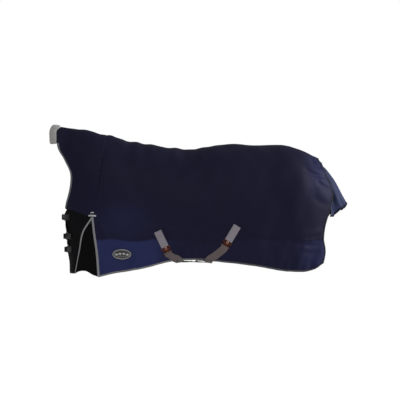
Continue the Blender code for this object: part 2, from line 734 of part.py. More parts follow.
def oval(width, length, count=28):
    turns = [2 * math.pi * k / count for k in range(count)]
    return [(math.cos(turn) * width / 2, math.sin(turn) * length / 2) for turn in turns]


def hook_outline():
    """Outline of the hook, from its head at -Y to its webbing loop at +Y."""
    head, stem, loop = HOOK_HEAD, HOOK_STEM, HOOK_LOOP
    half = [(head[0] / 2, 0.0), (head[0] / 2, head[1]), (stem[0] / 2, head[1])]
    half += [(stem[0] / 2, head[1] + stem[1]), (loop[0] / 2, head[1] + stem[1])]
    half += [(loop[0] / 2, head[1] + stem[1] + loop[1])]
    return half + [(-x, y) for x, y in half[::-1]]


HOOK_LENGTH = HOOK_HEAD[1] + HOOK_STEM[1] + HOOK_LOOP[1]


class SurcingleLine:
    """Straight line on the near side from a surcingle's sewn end down to its fitting."""

    def __init__(self, spec, cloth):
        self.top = np.array(spec["top"])
        way = np.array(spec["fitting"]) - self.top
        self.way = way / np.linalg.norm(way)
        points, normals = surface_points(straight(self.top, self.spot(BELLY_START), 6), 0.0, "near")
        self.cloth_rise = cloth.rise(points, normals, PLATE_SIZE[0])

    def spot(self, distance):
        return self.top + self.way * distance

    def webbing(self, name, start, end):
        route = straight(self.spot(start), self.spot(end), 3)
        lift = self.cloth_rise + STRAP_LIFT + WEBBING_THICK
        strip(name, *surface_points(route, lift, "near"), WEBBING, WEBBING_THICK, "webbing")

    def frame(self, distance, lift):
        """Point, travel direction, width direction and normal at a distance down the line."""
        ends = [self.spot(distance), self.spot(distance + 0.001)]
        points, normals = surface_points(ends, self.cloth_rise + lift, "near")
        travel = unit(points[1] - points[0])
        across = unit(np.cross(travel, normals[0]))
        return points[0], travel, across, unit(np.cross(across, travel))


SHORT_START = ANCHOR_LENGTH + PIVOT_GAP
PLATE_START = SHORT_START + SHORT_STRAP + PIVOT_GAP
HOOK_START = PLATE_START + PLATE_SIZE[1] + PIVOT_GAP
BELLY_START = HOOK_START + HOOK_LENGTH + PIVOT_GAP


def add_near_surcingle(name, line):
    """Sewn anchor, short swinging strap, slotted plate and hook on the near side."""
    line.webbing(f"{name}_anchor_near", 0.0, ANCHOR_LENGTH)
    line.webbing(f"{name}_short_strap", SHORT_START, SHORT_START + SHORT_STRAP)
    plate = outline_object(
        f"{name}_slot_plate",
        [rectangle(*PLATE_SIZE, 0.0, FITTING_CHAMFER), rectangle(*PLATE_SLOT)],
        FITTING_THICK,
        "copper",
    )
    lift = FITTING_LIFT + FITTING_THICK / 2
    point, _, across, normal = line.frame(PLATE_START + PLATE_SIZE[1] / 2, lift)
    placed(plate, point, across, normal)
    loop_centre = HOOK_HEAD[1] + HOOK_STEM[1] + HOOK_LOOP[1] / 2
    hook = outline_object(
        f"{name}_hook", [hook_outline(), rectangle(*HOOK_SLOT, loop_centre)], FITTING_THICK, "copper"
    )
    point, travel, across, normal = line.frame(HOOK_START, lift)
    placed(hook, point, across if np.cross(normal, across) @ travel > 0 else -across, normal)


def belly_route(line, cloth, spec, far_spec, level):
    """Outer face's centre points and normals of a belly strap, from the hook to the far hem."""
    near_x, far_x = spec["hem_x"], far_spec["hem_x"]
    near_z, far_z = smooth(HEM, near_x), smooth(HEM, far_x)
    start, turn = line.spot(BELLY_START), line.spot(BELLY_START + BELLY_LEAD)
    end = np.array([near_x, near_z + BINDING_LEG / 2])
    route = [start, turn, *(turn + (end - turn) * share for share in DOWN_POINTS), end]
    flat, flat_normals = surface_points(route, 0.0, "near")
    lift = cloth.rise(flat, flat_normals, WEBBING) + HEM_CLEARANCE
    down, down_normals = surface_points(route, lift, "near")
    far_point, _ = surface_points([(far_x, far_z - FAR_END_DROP)], lift, "far")
    drop = BELLY_DROP + level
    bottom = min(near_z, far_z) - drop
    edge, far_edge = down[-1], far_point[0]
    way = unit((far_edge - edge) * np.array([1.0, 1.0, 0.0]))
    centres = [
        edge + way * HEM_TURN * NEAR_TURN[0] + (0, 0, near_z - drop * NEAR_TURN[1] - edge[2]),
        edge + way * HEM_TURN + (0, 0, bottom - edge[2]),
        (edge + far_edge) / 2 + (0, 0, bottom - (edge[2] + far_edge[2]) / 2),
        far_edge - way * HEM_TURN + (0, 0, bottom - far_edge[2]),
        far_edge - way * HEM_TURN * FAR_TURN[0] + (0, 0, far_z - drop * FAR_TURN[1] - far_edge[2]),
        far_edge - (0, 0, FAR_END_DROP),
        far_edge,
    ]
    low = (0.0, 0.0, -1.0)
    out = (0.0, 1.0, 0.0)
    normals = [(0.0, -0.75, -0.66), low, low, low, (0.0, 0.75, -0.66), out, out]
    return np.concatenate([down, centres]), np.concatenate([down_normals, normals])


def add_belly_strap(name, line, cloth, far_name, level):
    """Long strap under the belly, sewn at the far hem, with the adjuster that slides on it."""
    centres, normals = belly_route(line, cloth, SURCINGLES[name], SURCINGLES[far_name], level)
    strip(f"{name}_belly_strap", centres, normals, WEBBING, WEBBING_THICK, "webbing")
    near_bottom, far_bottom = Vector(centres[-6]), Vector(centres[-4])
    way = (far_bottom - near_bottom).normalized()
    middle = (near_bottom + far_bottom) / 2 + Vector((0, 0, WEBBING_THICK / 2))
    spot = middle + way * ADJUSTER_PLACE
    adjuster = box_object(f"{name}_adjuster", ADJUSTER_SIZE, "copper")
    play = ADJUSTER_PLAY
    slot_size = (WEBBING + play[0], ADJUSTER_SIZE[1] * 2, WEBBING_THICK + play[1])
    slot = box_object(f"{name}_adjuster_slot", slot_size, None)
    cut = adjuster.modifiers.new("slot", "BOOLEAN")
    cut.operation = "DIFFERENCE"
    cut.object = slot
    across = way.cross(Vector((0, 0, 1)))
    for item in (adjuster, slot):
        placed(item, spot, across, (0, 0, 1))


def box_object(name, size, look):
    """Box centred on its origin; without a look it is a cutter."""
    mesh = bpy.data.meshes.new(name)
    shape = bmesh.new()
    bmesh.ops.create_cube(shape, size=1.0)
    bmesh.ops.scale(shape, vec=Vector(size), verts=shape.verts)
    shape.to_mesh(mesh)
    shape.free()
    item = bpy.data.objects.new(name, mesh)
    if look:
        bpy.data.collections[COLLECTION].objects.link(item)
        return dress(item, look)
    bpy.data.collections["cutters"].objects.link(item)
    item.hide_render = True
    item.display_type = "WIRE"
    return item


def add_far_anchor(name, cloth, spec):
    """Webbing sewn down the far side to the hem, above where the belly strap leaves it."""
    hem_x = spec["hem_x"]
    end = np.array([hem_x, smooth(HEM, hem_x) - FAR_END_DROP + PIVOT_GAP])
    route = straight(end + np.array([0.0, FAR_ANCHOR_LENGTH]), end, 5)
    lift = LAYER_GAP + BINDING_THICK + STRAP_LIFT
    surface_strip(f"{name}_anchor_far", cloth, route, WEBBING, WEBBING_THICK, lift, "far", "webbing")


def chest_spot(y, z):
    """x of the chest's outer face where it is |y| from the centre plane."""
    low, high = float(smooth(CHEST_FRONT, z)), CHEST_BACK
    for _ in range(40):
        middle = (low + high) / 2
        low, high = (middle, high) if half_width(middle, z) < abs(y) else (low, middle)
    return (low + high) / 2


def chest_line(y_values, heights, lifts):
    """Points and normals round the chest, moved out by the lifts."""
    x = np.array([chest_spot(y, z) for y, z in zip(y_values, heights)])
    points = np.stack([x, y_values, heights], axis=1)
    normals = outward(x, np.array(heights))
    normals[:, 1] *= -np.sign(y_values) * ease(np.abs(y_values) / CHEST_ROUND)
    normals = unit(normals)
    return points + normals * np.array(lifts)[:, None], normals


STRAP_OVER_CHAPE = CHAPE_LIFT + WEBBING_THICK + LAYER_GAP
TONGUE_EYE = BUCKLE_WIRE + TONGUE_PLAY + TONGUE_WIRE
BUCKLE_LIFT = STRAP_OVER_CHAPE + WEBBING_THICK + LAYER_GAP + TONGUE_EYE + TONGUE_WIRE


def chest_rise(cloth, z):
    """How far the flaps stand above the smooth chest under a closure."""
    y_values = np.linspace(CHEST_STRAP_ENDS[0], CHAPE_ENDS[1], CLOSURE_POINTS)
    points, normals = chest_line(y_values, [z] * CLOSURE_POINTS, [0.0] * CLOSURE_POINTS)
    return cloth.rise(points, normals, CHEST_WEBBING) + CLOSURE_BED


def add_closure(name, cloth, z):
    """Strap, webbing tab, buckle and tongue across the chest at height z."""
    base = chest_rise(cloth, z)
    y_values = np.linspace(*CHEST_STRAP_ENDS, CLOSURE_POINTS)
    rise = STRAP_OVER_CHAPE + WEBBING_THICK
    low = CHAPE_LIFT + WEBBING_THICK
    lifts = base + low + (rise - low) * ease((STRAP_STEP_START - y_values) / STRAP_STEP)
    points, normals = chest_line(y_values, [z] * CLOSURE_POINTS, lifts)
    strip(f"chest_strap_{name}", points, normals, CHEST_WEBBING, WEBBING_THICK, "webbing")
    y_values = np.linspace(*CHAPE_ENDS, CHAPE_POINTS)
    points, normals = chest_line(y_values, [z] * CHAPE_POINTS, [base + low] * CHAPE_POINTS)
    strip(f"chest_chape_{name}", points, normals, CHEST_WEBBING, WEBBING_THICK, "webbing")
    (centre,), (normal,) = chest_line([BUCKLE_Y], [z], [base + BUCKLE_LIFT - BUCKLE_SETTLE])
    across = unit(np.cross([0.0, 0.0, 1.0], normal))
    across = across if across[1] > 0 else -across
    frame = wire_loop(f"chest_buckle_{name}")
    placed(frame, centre, across, normal)
    tongue = tongue_object(f"chest_tongue_{name}")
    placed(tongue, centre - across * BUCKLE_LENGTH / 2, across, normal)


def wire_loop(name):
    """Rectangular wire frame, its long way up Y."""
    curve = bpy.data.curves.new(name, "CURVE")
    curve.dimensions = "3D"
    curve.bevel_depth = BUCKLE_WIRE
    curve.bevel_resolution = 1
    curve.resolution_u = 1
    spline = curve.splines.new("POLY")
    corners = rectangle(BUCKLE_LENGTH, BUCKLE_HEIGHT, 0.0, FITTING_CHAMFER)
    spline.points.add(len(corners) - 1)
    for point, (x, y) in zip(spline.points, corners):
        point.co = (x, y, 0.0, 1.0)
    spline.use_cyclic_u = True
    item = bpy.data.objects.new(name, curve)
    bpy.data.collections[COLLECTION].objects.link(item)
    return dress(item, "steel")


def tongue_object(name):
    """Buckle tongue: an eye round the frame's bar, which runs along Y, and a rod along X."""
    bpy.ops.mesh.primitive_torus_add(
        major_radius=TONGUE_EYE, minor_radius=TONGUE_WIRE, major_segments=12, minor_segments=6,
        rotation=(math.pi / 2, 0.0, 0.0),
    )
    eye = bpy.context.active_object
    eye.name = name
    eye.data.transform(eye.matrix_basis.to_3x3().to_4x4())
    eye.matrix_basis = Matrix()
    reach = BUCKLE_LENGTH + BUCKLE_WIRE + TONGUE_WIRE
    bpy.ops.mesh.primitive_cylinder_add(vertices=8, radius=TONGUE_WIRE, depth=reach)
    rod = bpy.context.active_object
    rod.name = f"{name}_rod"
    rod.data.transform(Matrix.Rotation(math.pi / 2, 4, "Y"))
    rod.data.transform(Matrix.Translation((reach / 2, 0.0, TONGUE_EYE)))
    join = eye.modifiers.new("rod", "BOOLEAN")
    join.operation = "UNION"
    join.object = rod
    rod.parent = eye
    rod.hide_render = True
    rod.display_type = "WIRE"
    for owner in list(rod.users_collection):
        owner.objects.unlink(rod)
    bpy.data.collections["cutters"].objects.link(rod)
    return dress(eye, "steel")


def add_strap_tails(cloth):
    """Free ends of the chest straps, hanging below the closures."""
    for name, length in TAIL_LENGTHS.items():
        top = CLOSURE_HEIGHTS[name] - BUCKLE_HEIGHT / 2 - BUCKLE_WIRE - TAIL_GAP
        heights = np.linspace(top, top - length, 4)
        points, normals = chest_line([TAIL_Y] * 4, heights, [0.0] * 4)
        lift = cloth.rise(points, normals, TAIL_WIDTH) + CLOSURE_BED + STRAP_LIFT + WEBBING_THICK
        points = points + normals * lift
        strip(f"chest_strap_tail_{name}", points, normals, TAIL_WIDTH, WEBBING_THICK, "webbing")


def add_trim(cloth):
    """Oval badge on the near side and the tabs over the gussets' points."""
    x, z = BADGE_CENTRE
    route = straight((x - BADGE_SIZE[0] / 2, z), (x + BADGE_SIZE[0] / 2, z), 5)
    rise = cloth.rise(*surface_points(route, 0.0, "near"), BADGE_SIZE[1])
    points, normals = surface_points([BADGE_CENTRE], rise + BADGE_LIFT + BADGE_SIZE[2] / 2, "near")
    badge = outline_object("badge", [oval(*BADGE_SIZE[:2])], BADGE_SIZE[2], "black")
    placed(badge, points[0], (1.0, 0.0, 0.0), normals[0])
    x, z = TAB_CENTRE
    for side in SIDES:
        route = straight((x - TAB_SIZE[0] / 2, z), (x + TAB_SIZE[0] / 2, z), 4)
        name = f"gusset_tab_{side}"
        surface_strip(name, cloth, route, TAB_SIZE[1], TAPE_THICK, STRAP_LIFT, side, "grey")


def main():
    clear_scene()
    panels = {
        "neck": neck_panel(), "body": body_panel(), "chest": chest_panel(), "gusset": gusset_panel(),
    }
    for side in SIDES:
        add_outers(panels, side)
        add_bindings(panels, side)
        add_piping(panels, side)
    add_inner_layers(panels)
    add_crest_band(panels["neck"])
    add_tail_flap(panels["body"])
    cloth = Cloth(panels)
    lines = {name: SurcingleLine(spec, cloth) for name, spec in SURCINGLES.items()}
    for name, spec in SURCINGLES.items():
        add_near_surcingle(name, lines[name])
        add_far_anchor(name, cloth, spec)
    add_belly_strap("front", lines["front"], cloth, "rear", 0.0)
    add_belly_strap("rear", lines["rear"], cloth, "front", WEBBING_THICK + CROSSING_GAP)
    for name, z in CLOSURE_HEIGHTS.items():
        add_closure(name, cloth, z)
    add_strap_tails(cloth)
    add_trim(cloth)


main()
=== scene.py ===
"""Looks of a turnout rug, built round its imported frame.

Metres, +Z up. The horse faces -X and its near (left) side is -Y. All cloth lies on one
smooth form, the shape of the horse, and stands off it by the folds that Relief gives.
"""

import logging
import math
from dataclasses import dataclass, field
from enum import Enum
from typing import Optional, Sequence

import bpy
import numpy as np
from mathutils import Matrix, Vector


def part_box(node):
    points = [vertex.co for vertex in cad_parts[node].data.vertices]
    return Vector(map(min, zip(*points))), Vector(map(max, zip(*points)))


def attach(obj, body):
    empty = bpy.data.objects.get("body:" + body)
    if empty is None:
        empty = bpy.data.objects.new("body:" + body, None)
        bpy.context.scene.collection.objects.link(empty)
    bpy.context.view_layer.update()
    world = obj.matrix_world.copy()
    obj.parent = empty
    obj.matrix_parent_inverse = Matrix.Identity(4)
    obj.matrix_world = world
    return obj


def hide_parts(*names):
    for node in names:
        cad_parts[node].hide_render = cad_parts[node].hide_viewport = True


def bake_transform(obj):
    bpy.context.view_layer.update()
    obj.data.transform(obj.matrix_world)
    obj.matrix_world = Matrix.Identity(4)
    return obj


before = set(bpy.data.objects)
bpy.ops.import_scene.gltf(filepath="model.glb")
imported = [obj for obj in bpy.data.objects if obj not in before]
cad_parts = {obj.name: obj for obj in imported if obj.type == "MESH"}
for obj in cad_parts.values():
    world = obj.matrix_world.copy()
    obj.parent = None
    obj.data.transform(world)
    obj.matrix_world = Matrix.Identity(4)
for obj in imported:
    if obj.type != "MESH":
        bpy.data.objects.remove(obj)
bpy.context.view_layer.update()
LOG = logging.getLogger("turnout_rug")

Array = np.ndarray
Knots = Sequence[tuple[float, float]]
Colour = tuple[float, float, float]
Piece = bpy.types.Object
Run = tuple[Array, Array, Array]


class Side(Enum):
    """The horse's left and right sides, as the sign of Y."""

    NEAR = -1.0
    FAR = 1.0

    @property
    def label(self) -> str:
        """The side's word in piece and node names."""
        return self.name.lower()


# ---------------------------------------------------------------- curves and small helpers


def smooth(knots: Knots, at: Array) -> Array:
    """Value of the cubic curve through (position, value) knots.

    Args:
        knots: positions and values.
        at: positions to read, held within the knots' range.
    Returns:
        The values there.
    """
    positions, values = np.array(sorted(knots)).T
    slopes = np.gradient(values, positions)
    at = np.clip(np.asarray(at, float), positions[0], positions[-1])
    left = np.clip(np.searchsorted(positions, at) - 1, 0, len(positions) - 2)
    span = positions[left + 1] - positions[left]
    t = (at - positions[left]) / span
    rise = values[left] * (1 + 2 * t) * (1 - t) ** 2 + values[left + 1] * t * t * (3 - 2 * t)
    return rise + span * (slopes[left] * t * (1 - t) ** 2 - slopes[left + 1] * t * t * (1 - t))


def along(knots: Knots, fractions: Array) -> Array:
    """Points at the fractions of the length of the smooth curve through the (x, z) knots."""
    knots = np.array(knots)
    steps = np.linalg.norm(np.diff(knots, axis=0), axis=1)
    travelled = np.concatenate([[0.0], np.cumsum(steps)])
    fine = np.linspace(0.0, travelled[-1], 400)
    curve = np.stack([smooth(list(zip(travelled, knots[:, k])), fine) for k in (0, 1)], axis=1)
    lengths = np.concatenate([[0.0], np.cumsum(np.linalg.norm(np.diff(curve, axis=0), axis=1))])
    wanted = np.asarray(fractions) * lengths[-1]
    return np.stack([np.interp(wanted, lengths, curve[:, k]) for k in (0, 1)], axis=-1)


def ease(value: Array) -> Array:
    """Smooth step from 0 to 1."""
    value = np.clip(value, 0.0, 1.0)
    return value * value * (3 - 2 * value)


def bell(value: Array) -> Array:
    """Bell curve: 1 at 0, and about a third at 1."""
    return np.exp(-value * value)


def round_off(value: Array) -> Array:
    """Quarter ellipse: 0 at 0, 1 at 1 and beyond, upright at 0."""
    return np.sqrt(1 - (1 - np.clip(value, 0.0, 1.0)) ** 2)


def unit(vectors: Array) -> Array:
    """The vectors at length 1."""
    return vectors / np.maximum(np.linalg.norm(vectors, axis=-1, keepdims=True), 1e-12)


def from_line(x: Array, z: Array, line: Array) -> Array:
    """Distance of each (x, z) from a polyline."""
    best = np.full(np.shape(x), np.inf)
    for (ax, az), (bx, bz) in zip(line, line[1:]):
        dx, dz = bx - ax, bz - az
        t = np.clip(((x - ax) * dx + (z - az) * dz) / max(dx * dx + dz * dz, 1e-12), 0, 1)
        best = np.minimum(best, np.hypot(x - ax - t * dx, z - az - t * dz))
    return best


def metres_along(grid: Array, axis: int) -> Array:
    """Distance travelled over a grid of points along one of its axes."""
    steps = np.linalg.norm(np.diff(grid, axis=axis), axis=-1)
    start = np.zeros_like(np.take(steps, [0], axis=axis))
    return np.concatenate([start, np.cumsum(steps, axis=axis)], axis=axis)


# ---------------------------------------------------------------- outlines, as (x, z)

TOPLINE = [
    (-0.70, 0.128), (-0.59, 0.1245), (-0.47, 0.105), (-0.31, 0.072), (-0.08, 0.013),
    (0.00, 0.000), (0.24, -0.026), (0.47, 0.000), (0.71, 0.000), (0.94, -0.013),
    (1.06, -0.062), (1.14, -0.118), (1.22, -0.230),
]
REAR_EDGE = [
    (1.105, -0.0930), (1.142, -0.180), (1.171, -0.2515), (1.189, -0.330), (1.171, -0.429),
    (1.140, -0.557), (1.134, -0.610), (1.146, -0.700), (1.128, -0.770),
]
HEM = [
    (-0.333, -0.861), (-0.236, -0.838), (-0.118, -0.819), (0.000, -0.7925), (0.118, -0.762),
    (0.275, -0.747), (0.472, -0.764), (0.707, -0.7925), (0.904, -0.823), (1.061, -0.812),
    (1.128, -0.770),
]
NECK_EDGE = [
    (-0.590, 0.1245), (-0.612, 0.098), (-0.614, 0.050), (-0.606, -0.020), (-0.561, -0.098),
    (-0.521, -0.187), (-0.525, -0.283), (-0.550, -0.380), (-0.5585, -0.415),
]
SHOULDER_SEAM = [(-0.290, 0.0675), (-0.318, -0.160), (-0.375, -0.472)]
GUSSET_FRONT = [(-0.375, -0.472), (-0.435, -0.565), (-0.463, -0.703), (-0.490, -0.840)]
GUSSET_REAR = [(-0.375, -0.472), (-0.3635, -0.572), (-0.345, -0.700), (-0.333, -0.861)]
GUSSET_HEM = [
    (-0.490, -0.840), (-0.468, -0.828), (-0.420, -0.826), (-0.398, -0.838), (-0.366, -0.852),
    (-0.333, -0.861),
]
CHEST_TIP = (-0.516, -0.840)
CHEST_SEAM = [NECK_EDGE[-1], GUSSET_FRONT[0]]
FLAP_CENTRE = [(1.161, -0.134), (1.206, -0.198), (1.259, -0.305), (1.303, -0.385)]
SEAM_SHARE = 0.55


@dataclass(frozen=True)
class HorseForm:
    """The smooth shape that the rug takes on a horse."""

    half_widths: Knots = (
        (-0.70, 0.070), (-0.50, 0.105), (-0.35, 0.170), (-0.15, 0.240), (0.10, 0.285),
        (0.40, 0.305), (0.80, 0.300), (1.00, 0.268), (1.10, 0.222), (1.22, 0.140),
    )
    chest_front: Knots = (
        (-0.90, -0.5164), (-0.70, -0.5352), (-0.54, -0.5502), (-0.465, -0.5640),
        (-0.38, -0.592), (-0.28, -0.660), (-0.10, -0.900), (0.20, -1.300),
    )
    neck_crown: float = 0.20
    body_crown: float = 0.42
    crown_start: float = -0.60
    shoulder_lean: float = 0.50
    shoulder_span: float = 0.90
    chest_back: float = -0.25
    skirt_taper: float = 0.10
    flap_gap: float = 0.008

    def half_width(self, x: Array, z: Array) -> Array:
        """Distance of the outer face from the centre plane."""
        depth = smooth(TOPLINE, x) - z
        forward = np.clip(0.5 - x / self.shoulder_span, 0.0, 1.0)
        lean = self.shoulder_lean * np.maximum(depth, 0.0) * forward
        rise = ease((x - self.crown_start) / -self.crown_start)
        crown = self.neck_crown + (self.body_crown - self.neck_crown) * rise
        side = smooth(self.half_widths, x + lean) * round_off(depth / crown)
        below = np.clip((depth - crown) / self.body_crown, 0.0, 1.0)
        side = side * (1 - self.skirt_taper * below**2)
        front = smooth(self.chest_front, z)
        return side * round_off((x - front) / (self.chest_back - front))

    def normals(self, x: Array, z: Array, step: float = 0.0004) -> Array:
        """Unit normals of the near side's outer face."""
        z = np.minimum(z, smooth(TOPLINE, x) - 0.002)
        x = np.maximum(x, smooth(self.chest_front, z) + 0.001)
        slope_x = (self.half_width(x + step, z) - self.half_width(x - step, z)) / (2 * step)
        slope_z = (self.half_width(x, z + step) - self.half_width(x, z - step)) / (2 * step)
        return unit(np.stack([-slope_x, -np.ones_like(slope_x), -slope_z], axis=-1))

    def chest_edge(self, fractions: Array) -> Array:
        """Side outline of a chest flap's front edge, from the neck opening to the tip."""
        split, flare = -0.465, 0.030
        z = NECK_EDGE[-1][1] + np.asarray(fractions) * (CHEST_TIP[1] - NECK_EDGE[-1][1])
        open_by = flare * ease((z - split) / (NECK_EDGE[-1][1] - split))
        return np.stack([smooth(self.chest_front, z) + 0.0003 + open_by, z], axis=-1)


FORM = HorseForm()


# ---------------------------------------------------------------- folds of the cloth


@dataclass(frozen=True)
class Crease:
    """A fold drawn into the cloth from one (x, z) to another: a valley with a soft ridge beside it."""

    start: tuple[float, float]
    end: tuple[float, float]
    width: float = 0.012
    depth: float = 0.004
    sides: tuple[Side, ...] = (Side.NEAR, Side.FAR)

    def at(self, x: Array, z: Array) -> Array:
        """How far the fold moves the cloth outwards."""
        (ax, az), (bx, bz) = self.start, self.end
        dx, dz = bx - ax, bz - az
        length = math.hypot(dx, dz)
        t = ((x - ax) * dx + (z - az) * dz) / length**2
        off = ((x - ax) * -dz + (z - az) * dx) / length
        off = off + 0.08 * length * np.sin(np.clip(t, 0, 1) * math.pi)
        arch = np.clip(np.sin(np.clip(t, 0, 1) * math.pi), 0, 1)
        taper = np.sqrt(arch) * ease(2.5 * np.minimum(t, 1 - t) + 0.4)
        valley = bell(off / self.width)
        ridge = bell((off - 2.0 * self.width) / (1.5 * self.width))
        return self.depth * taper * np.where((t > 0) & (t < 1), 0.55 * ridge - valley, 0.0)


@dataclass
class Relief:
    """How far the cloth stands off the form at each point."""

    fold_height: float = -0.622
    fold_start: float = -0.345
    fold_end: float = 1.15
    flat_spots: Sequence[tuple[float, float, float]] = (
        (0.102, -0.668, 0.060), (0.508, -0.632, 0.060), (-0.180, -0.713, 0.085),
    )
    lanes: Sequence[tuple[tuple[float, float], ...]] = (
        ((0.052, -0.563), (0.110, -0.6845), (0.188, -0.750)),
        ((0.570, -0.5285), (0.496, -0.652), (0.386, -0.750)),
    )
    seed: int = 11
    creases: Sequence[Crease] = field(default_factory=list)

    def __post_init__(self) -> None:
        """Draws the directions, lengths and phases of the soft waves."""
        random = np.random.default_rng(self.seed)
        self.waves = []
        for low, high, amount, count in ((0.30, 0.70, 0.0022, 9), (0.12, 0.26, 0.0007, 12)):
            for _ in range(count):
                way = unit(random.normal(size=3) * (1.0, 0.9, 0.7))
                length = random.uniform(low, high)
                self.waves.append((way * 2 * math.pi / length, random.uniform(0, 6.3), amount))
        self.skirt = [
            (random.uniform(0.055, 0.16), random.uniform(0, 6.3), random.uniform(-0.6, 0.6))
            for _ in range(9)
        ]
        seams = (SHOULDER_SEAM, GUSSET_REAR, GUSSET_FRONT)
        self.seams = [along(line, np.linspace(0, 1, 16)) for line in seams]
        self.seams.append(along(CHEST_SEAM, np.linspace(0, 1, 3)))
        if not self.creases:
            self.creases = self.drawn_creases()

    @staticmethod
    def drawn_creases() -> list[Crease]:
        """The folds that show on the near side, and like ones on the far side."""
        near, far = (Side.NEAR,), (Side.FAR,)
        return [
            # Pulls from the shoulder's point, over the shoulder and into the neck.
            Crease((-0.395, -0.455), (-0.300, -0.330), 0.020, 0.0050),
            Crease((-0.430, -0.440), (-0.500, -0.250), 0.022, 0.0040),
            Crease((-0.360, -0.500), (-0.300, -0.600), 0.014, 0.0050),
            Crease((-0.350, -0.560), (-0.270, -0.630), 0.012, 0.0050, near),
            Crease((-0.330, -0.470), (-0.200, -0.560), 0.026, 0.0030),
            Crease((-0.300, -0.250), (-0.420, -0.060), 0.035, 0.0040),
            Crease((-0.560, 0.080), (-0.430, 0.010), 0.024, 0.0035),
            Crease((-0.585, 0.020), (-0.500, -0.090), 0.022, 0.0035, near),
            # Tucks that run from the straps' sewn ends.
            Crease((0.075, -0.560), (0.190, -0.585), 0.012, 0.0042, near),
            Crease((0.085, -0.590), (0.210, -0.640), 0.010, 0.0046, near),
            Crease((0.110, -0.620), (0.200, -0.690), 0.010, 0.0040, near),
            Crease((0.030, -0.570), (-0.070, -0.600), 0.014, 0.0034, near),
            Crease((0.045, -0.600), (-0.060, -0.660), 0.012, 0.0034, near),
            Crease((0.545, -0.545), (0.430, -0.590), 0.012, 0.0042, near),
            Crease((0.530, -0.570), (0.410, -0.640), 0.011, 0.0046, near),
            Crease((0.600, -0.545), (0.690, -0.600), 0.014, 0.0040, near),
            Crease((0.590, -0.570), (0.650, -0.650), 0.012, 0.0040, near),
            Crease((0.250, -0.610), (0.270, -0.690), 0.010, 0.0036, near),
            Crease((0.300, -0.615), (0.330, -0.700), 0.011, 0.0036, near),
            Crease((0.360, -0.610), (0.350, -0.680), 0.010, 0.0034, near),
            # Pulls towards the tail, and the flank's long soft folds.
            Crease((1.000, -0.150), (1.150, -0.215), 0.013, 0.0090),
            Crease((1.050, -0.095), (1.125, -0.155), 0.012, 0.0080),
            Crease((1.080, -0.230), (1.175, -0.300), 0.014, 0.0075),
            Crease((1.060, -0.330), (1.170, -0.400), 0.020, 0.0040),
            Crease((0.980, -0.610), (1.125, -0.575), 0.014, 0.0085),
            Crease((0.940, -0.630), (1.120, -0.650), 0.016, 0.0085),
            Crease((0.960, -0.680), (1.130, -0.705), 0.018, 0.0050),
            Crease((0.800, -0.600), (0.760, -0.660), 0.012, 0.0036),
            Crease((0.870, -0.590), (0.850, -0.660), 0.013, 0.0040),
            Crease((0.700, -0.250), (0.980, -0.420), 0.050, 0.0040),
            Crease((0.250, -0.120), (0.500, -0.330), 0.055, 0.0035),
            Crease((-0.200, -0.100), (0.050, -0.420), 0.055, 0.0040),
            Crease((-0.120, -0.400), (0.150, -0.520), 0.040, 0.0030),
            Crease((0.300, -0.540), (0.480, -0.500), 0.025, 0.0024, near),
            # Tucks above the far anchors.
            Crease((0.386, -0.560), (0.300, -0.600), 0.014, 0.0040, far),
            Crease((0.386, -0.570), (0.480, -0.610), 0.014, 0.0040, far),
            Crease((0.188, -0.560), (0.090, -0.600), 0.014, 0.0040, far),
            Crease((0.188, -0.570), (0.270, -0.610), 0.014, 0.0040, far),
        ]

    def line(self, x: Array) -> Array:
        """Height of the long fold."""
        near_gusset = 0.010 * bell((x + 0.26) / 0.05)
        return self.fold_height + near_gusset + 0.006 * np.sin(x * 11.0) + 0.004 * np.sin(x * 29.0 + 1.0)

    def fold(self, x: Array, z: Array) -> Array:
        """The long fold over the skirt: the cloth above it bellies out, and the skirt flares."""
        line = self.line(x)
        up = z - line
        strength = ease((x - self.fold_start) / 0.05) * ease((self.fold_end - x) / 0.06)
        strength = strength * (0.70 + 0.30 * np.sin(x * 6.0 + 0.6))
        belly = 0.0050 * bell((up - 0.030) / 0.034) * (up > -0.02)
        valley = -0.0055 * np.where(up < 0, bell(up / 0.026), bell(up / 0.008))
        front = 1 - ease((x - 0.02) / 0.30)
        flare = (0.006 + 0.008 * front) * ease(-up / 0.20)
        tucks = np.sin(x * 95.0 + 2.5 * np.sin(x * 31.0)) * (0.55 + 0.45 * np.sin(x * 17.0 + 1.0))
        puckers = 0.0026 * bell((up - 0.010) / 0.026) * tucks
        return strength * (belly + valley + flare + puckers)

    def skirt_folds(self, x: Array, z: Array) -> Array:
        """Soft upright folds in the skirt, which grow towards the hem."""
        down = ease((self.fold_height + 0.02 - z) / 0.15)
        total = np.zeros_like(x)
        for length, phase, lean in self.skirt:
            total = total + np.sin((x + lean * (z + 0.7)) * 2 * math.pi / length + phase)
        return 0.0009 * down * total

    def topline_bumps(self, x: Array, z: Array) -> Array:
        """Small bumps where the cloth bunches over the neck and withers."""
        depth = smooth(TOPLINE, x) - z
        where = ease((x + 0.52) / 0.10) * ease((0.45 - x) / 0.20) * bell(depth / 0.09)
        wave = np.sin(x * 44.0 + 0.8 * np.sin(x * 13.0)) + 0.5 * np.sin(x * 71.0 + 2.0)
        return 0.0036 * where * wave

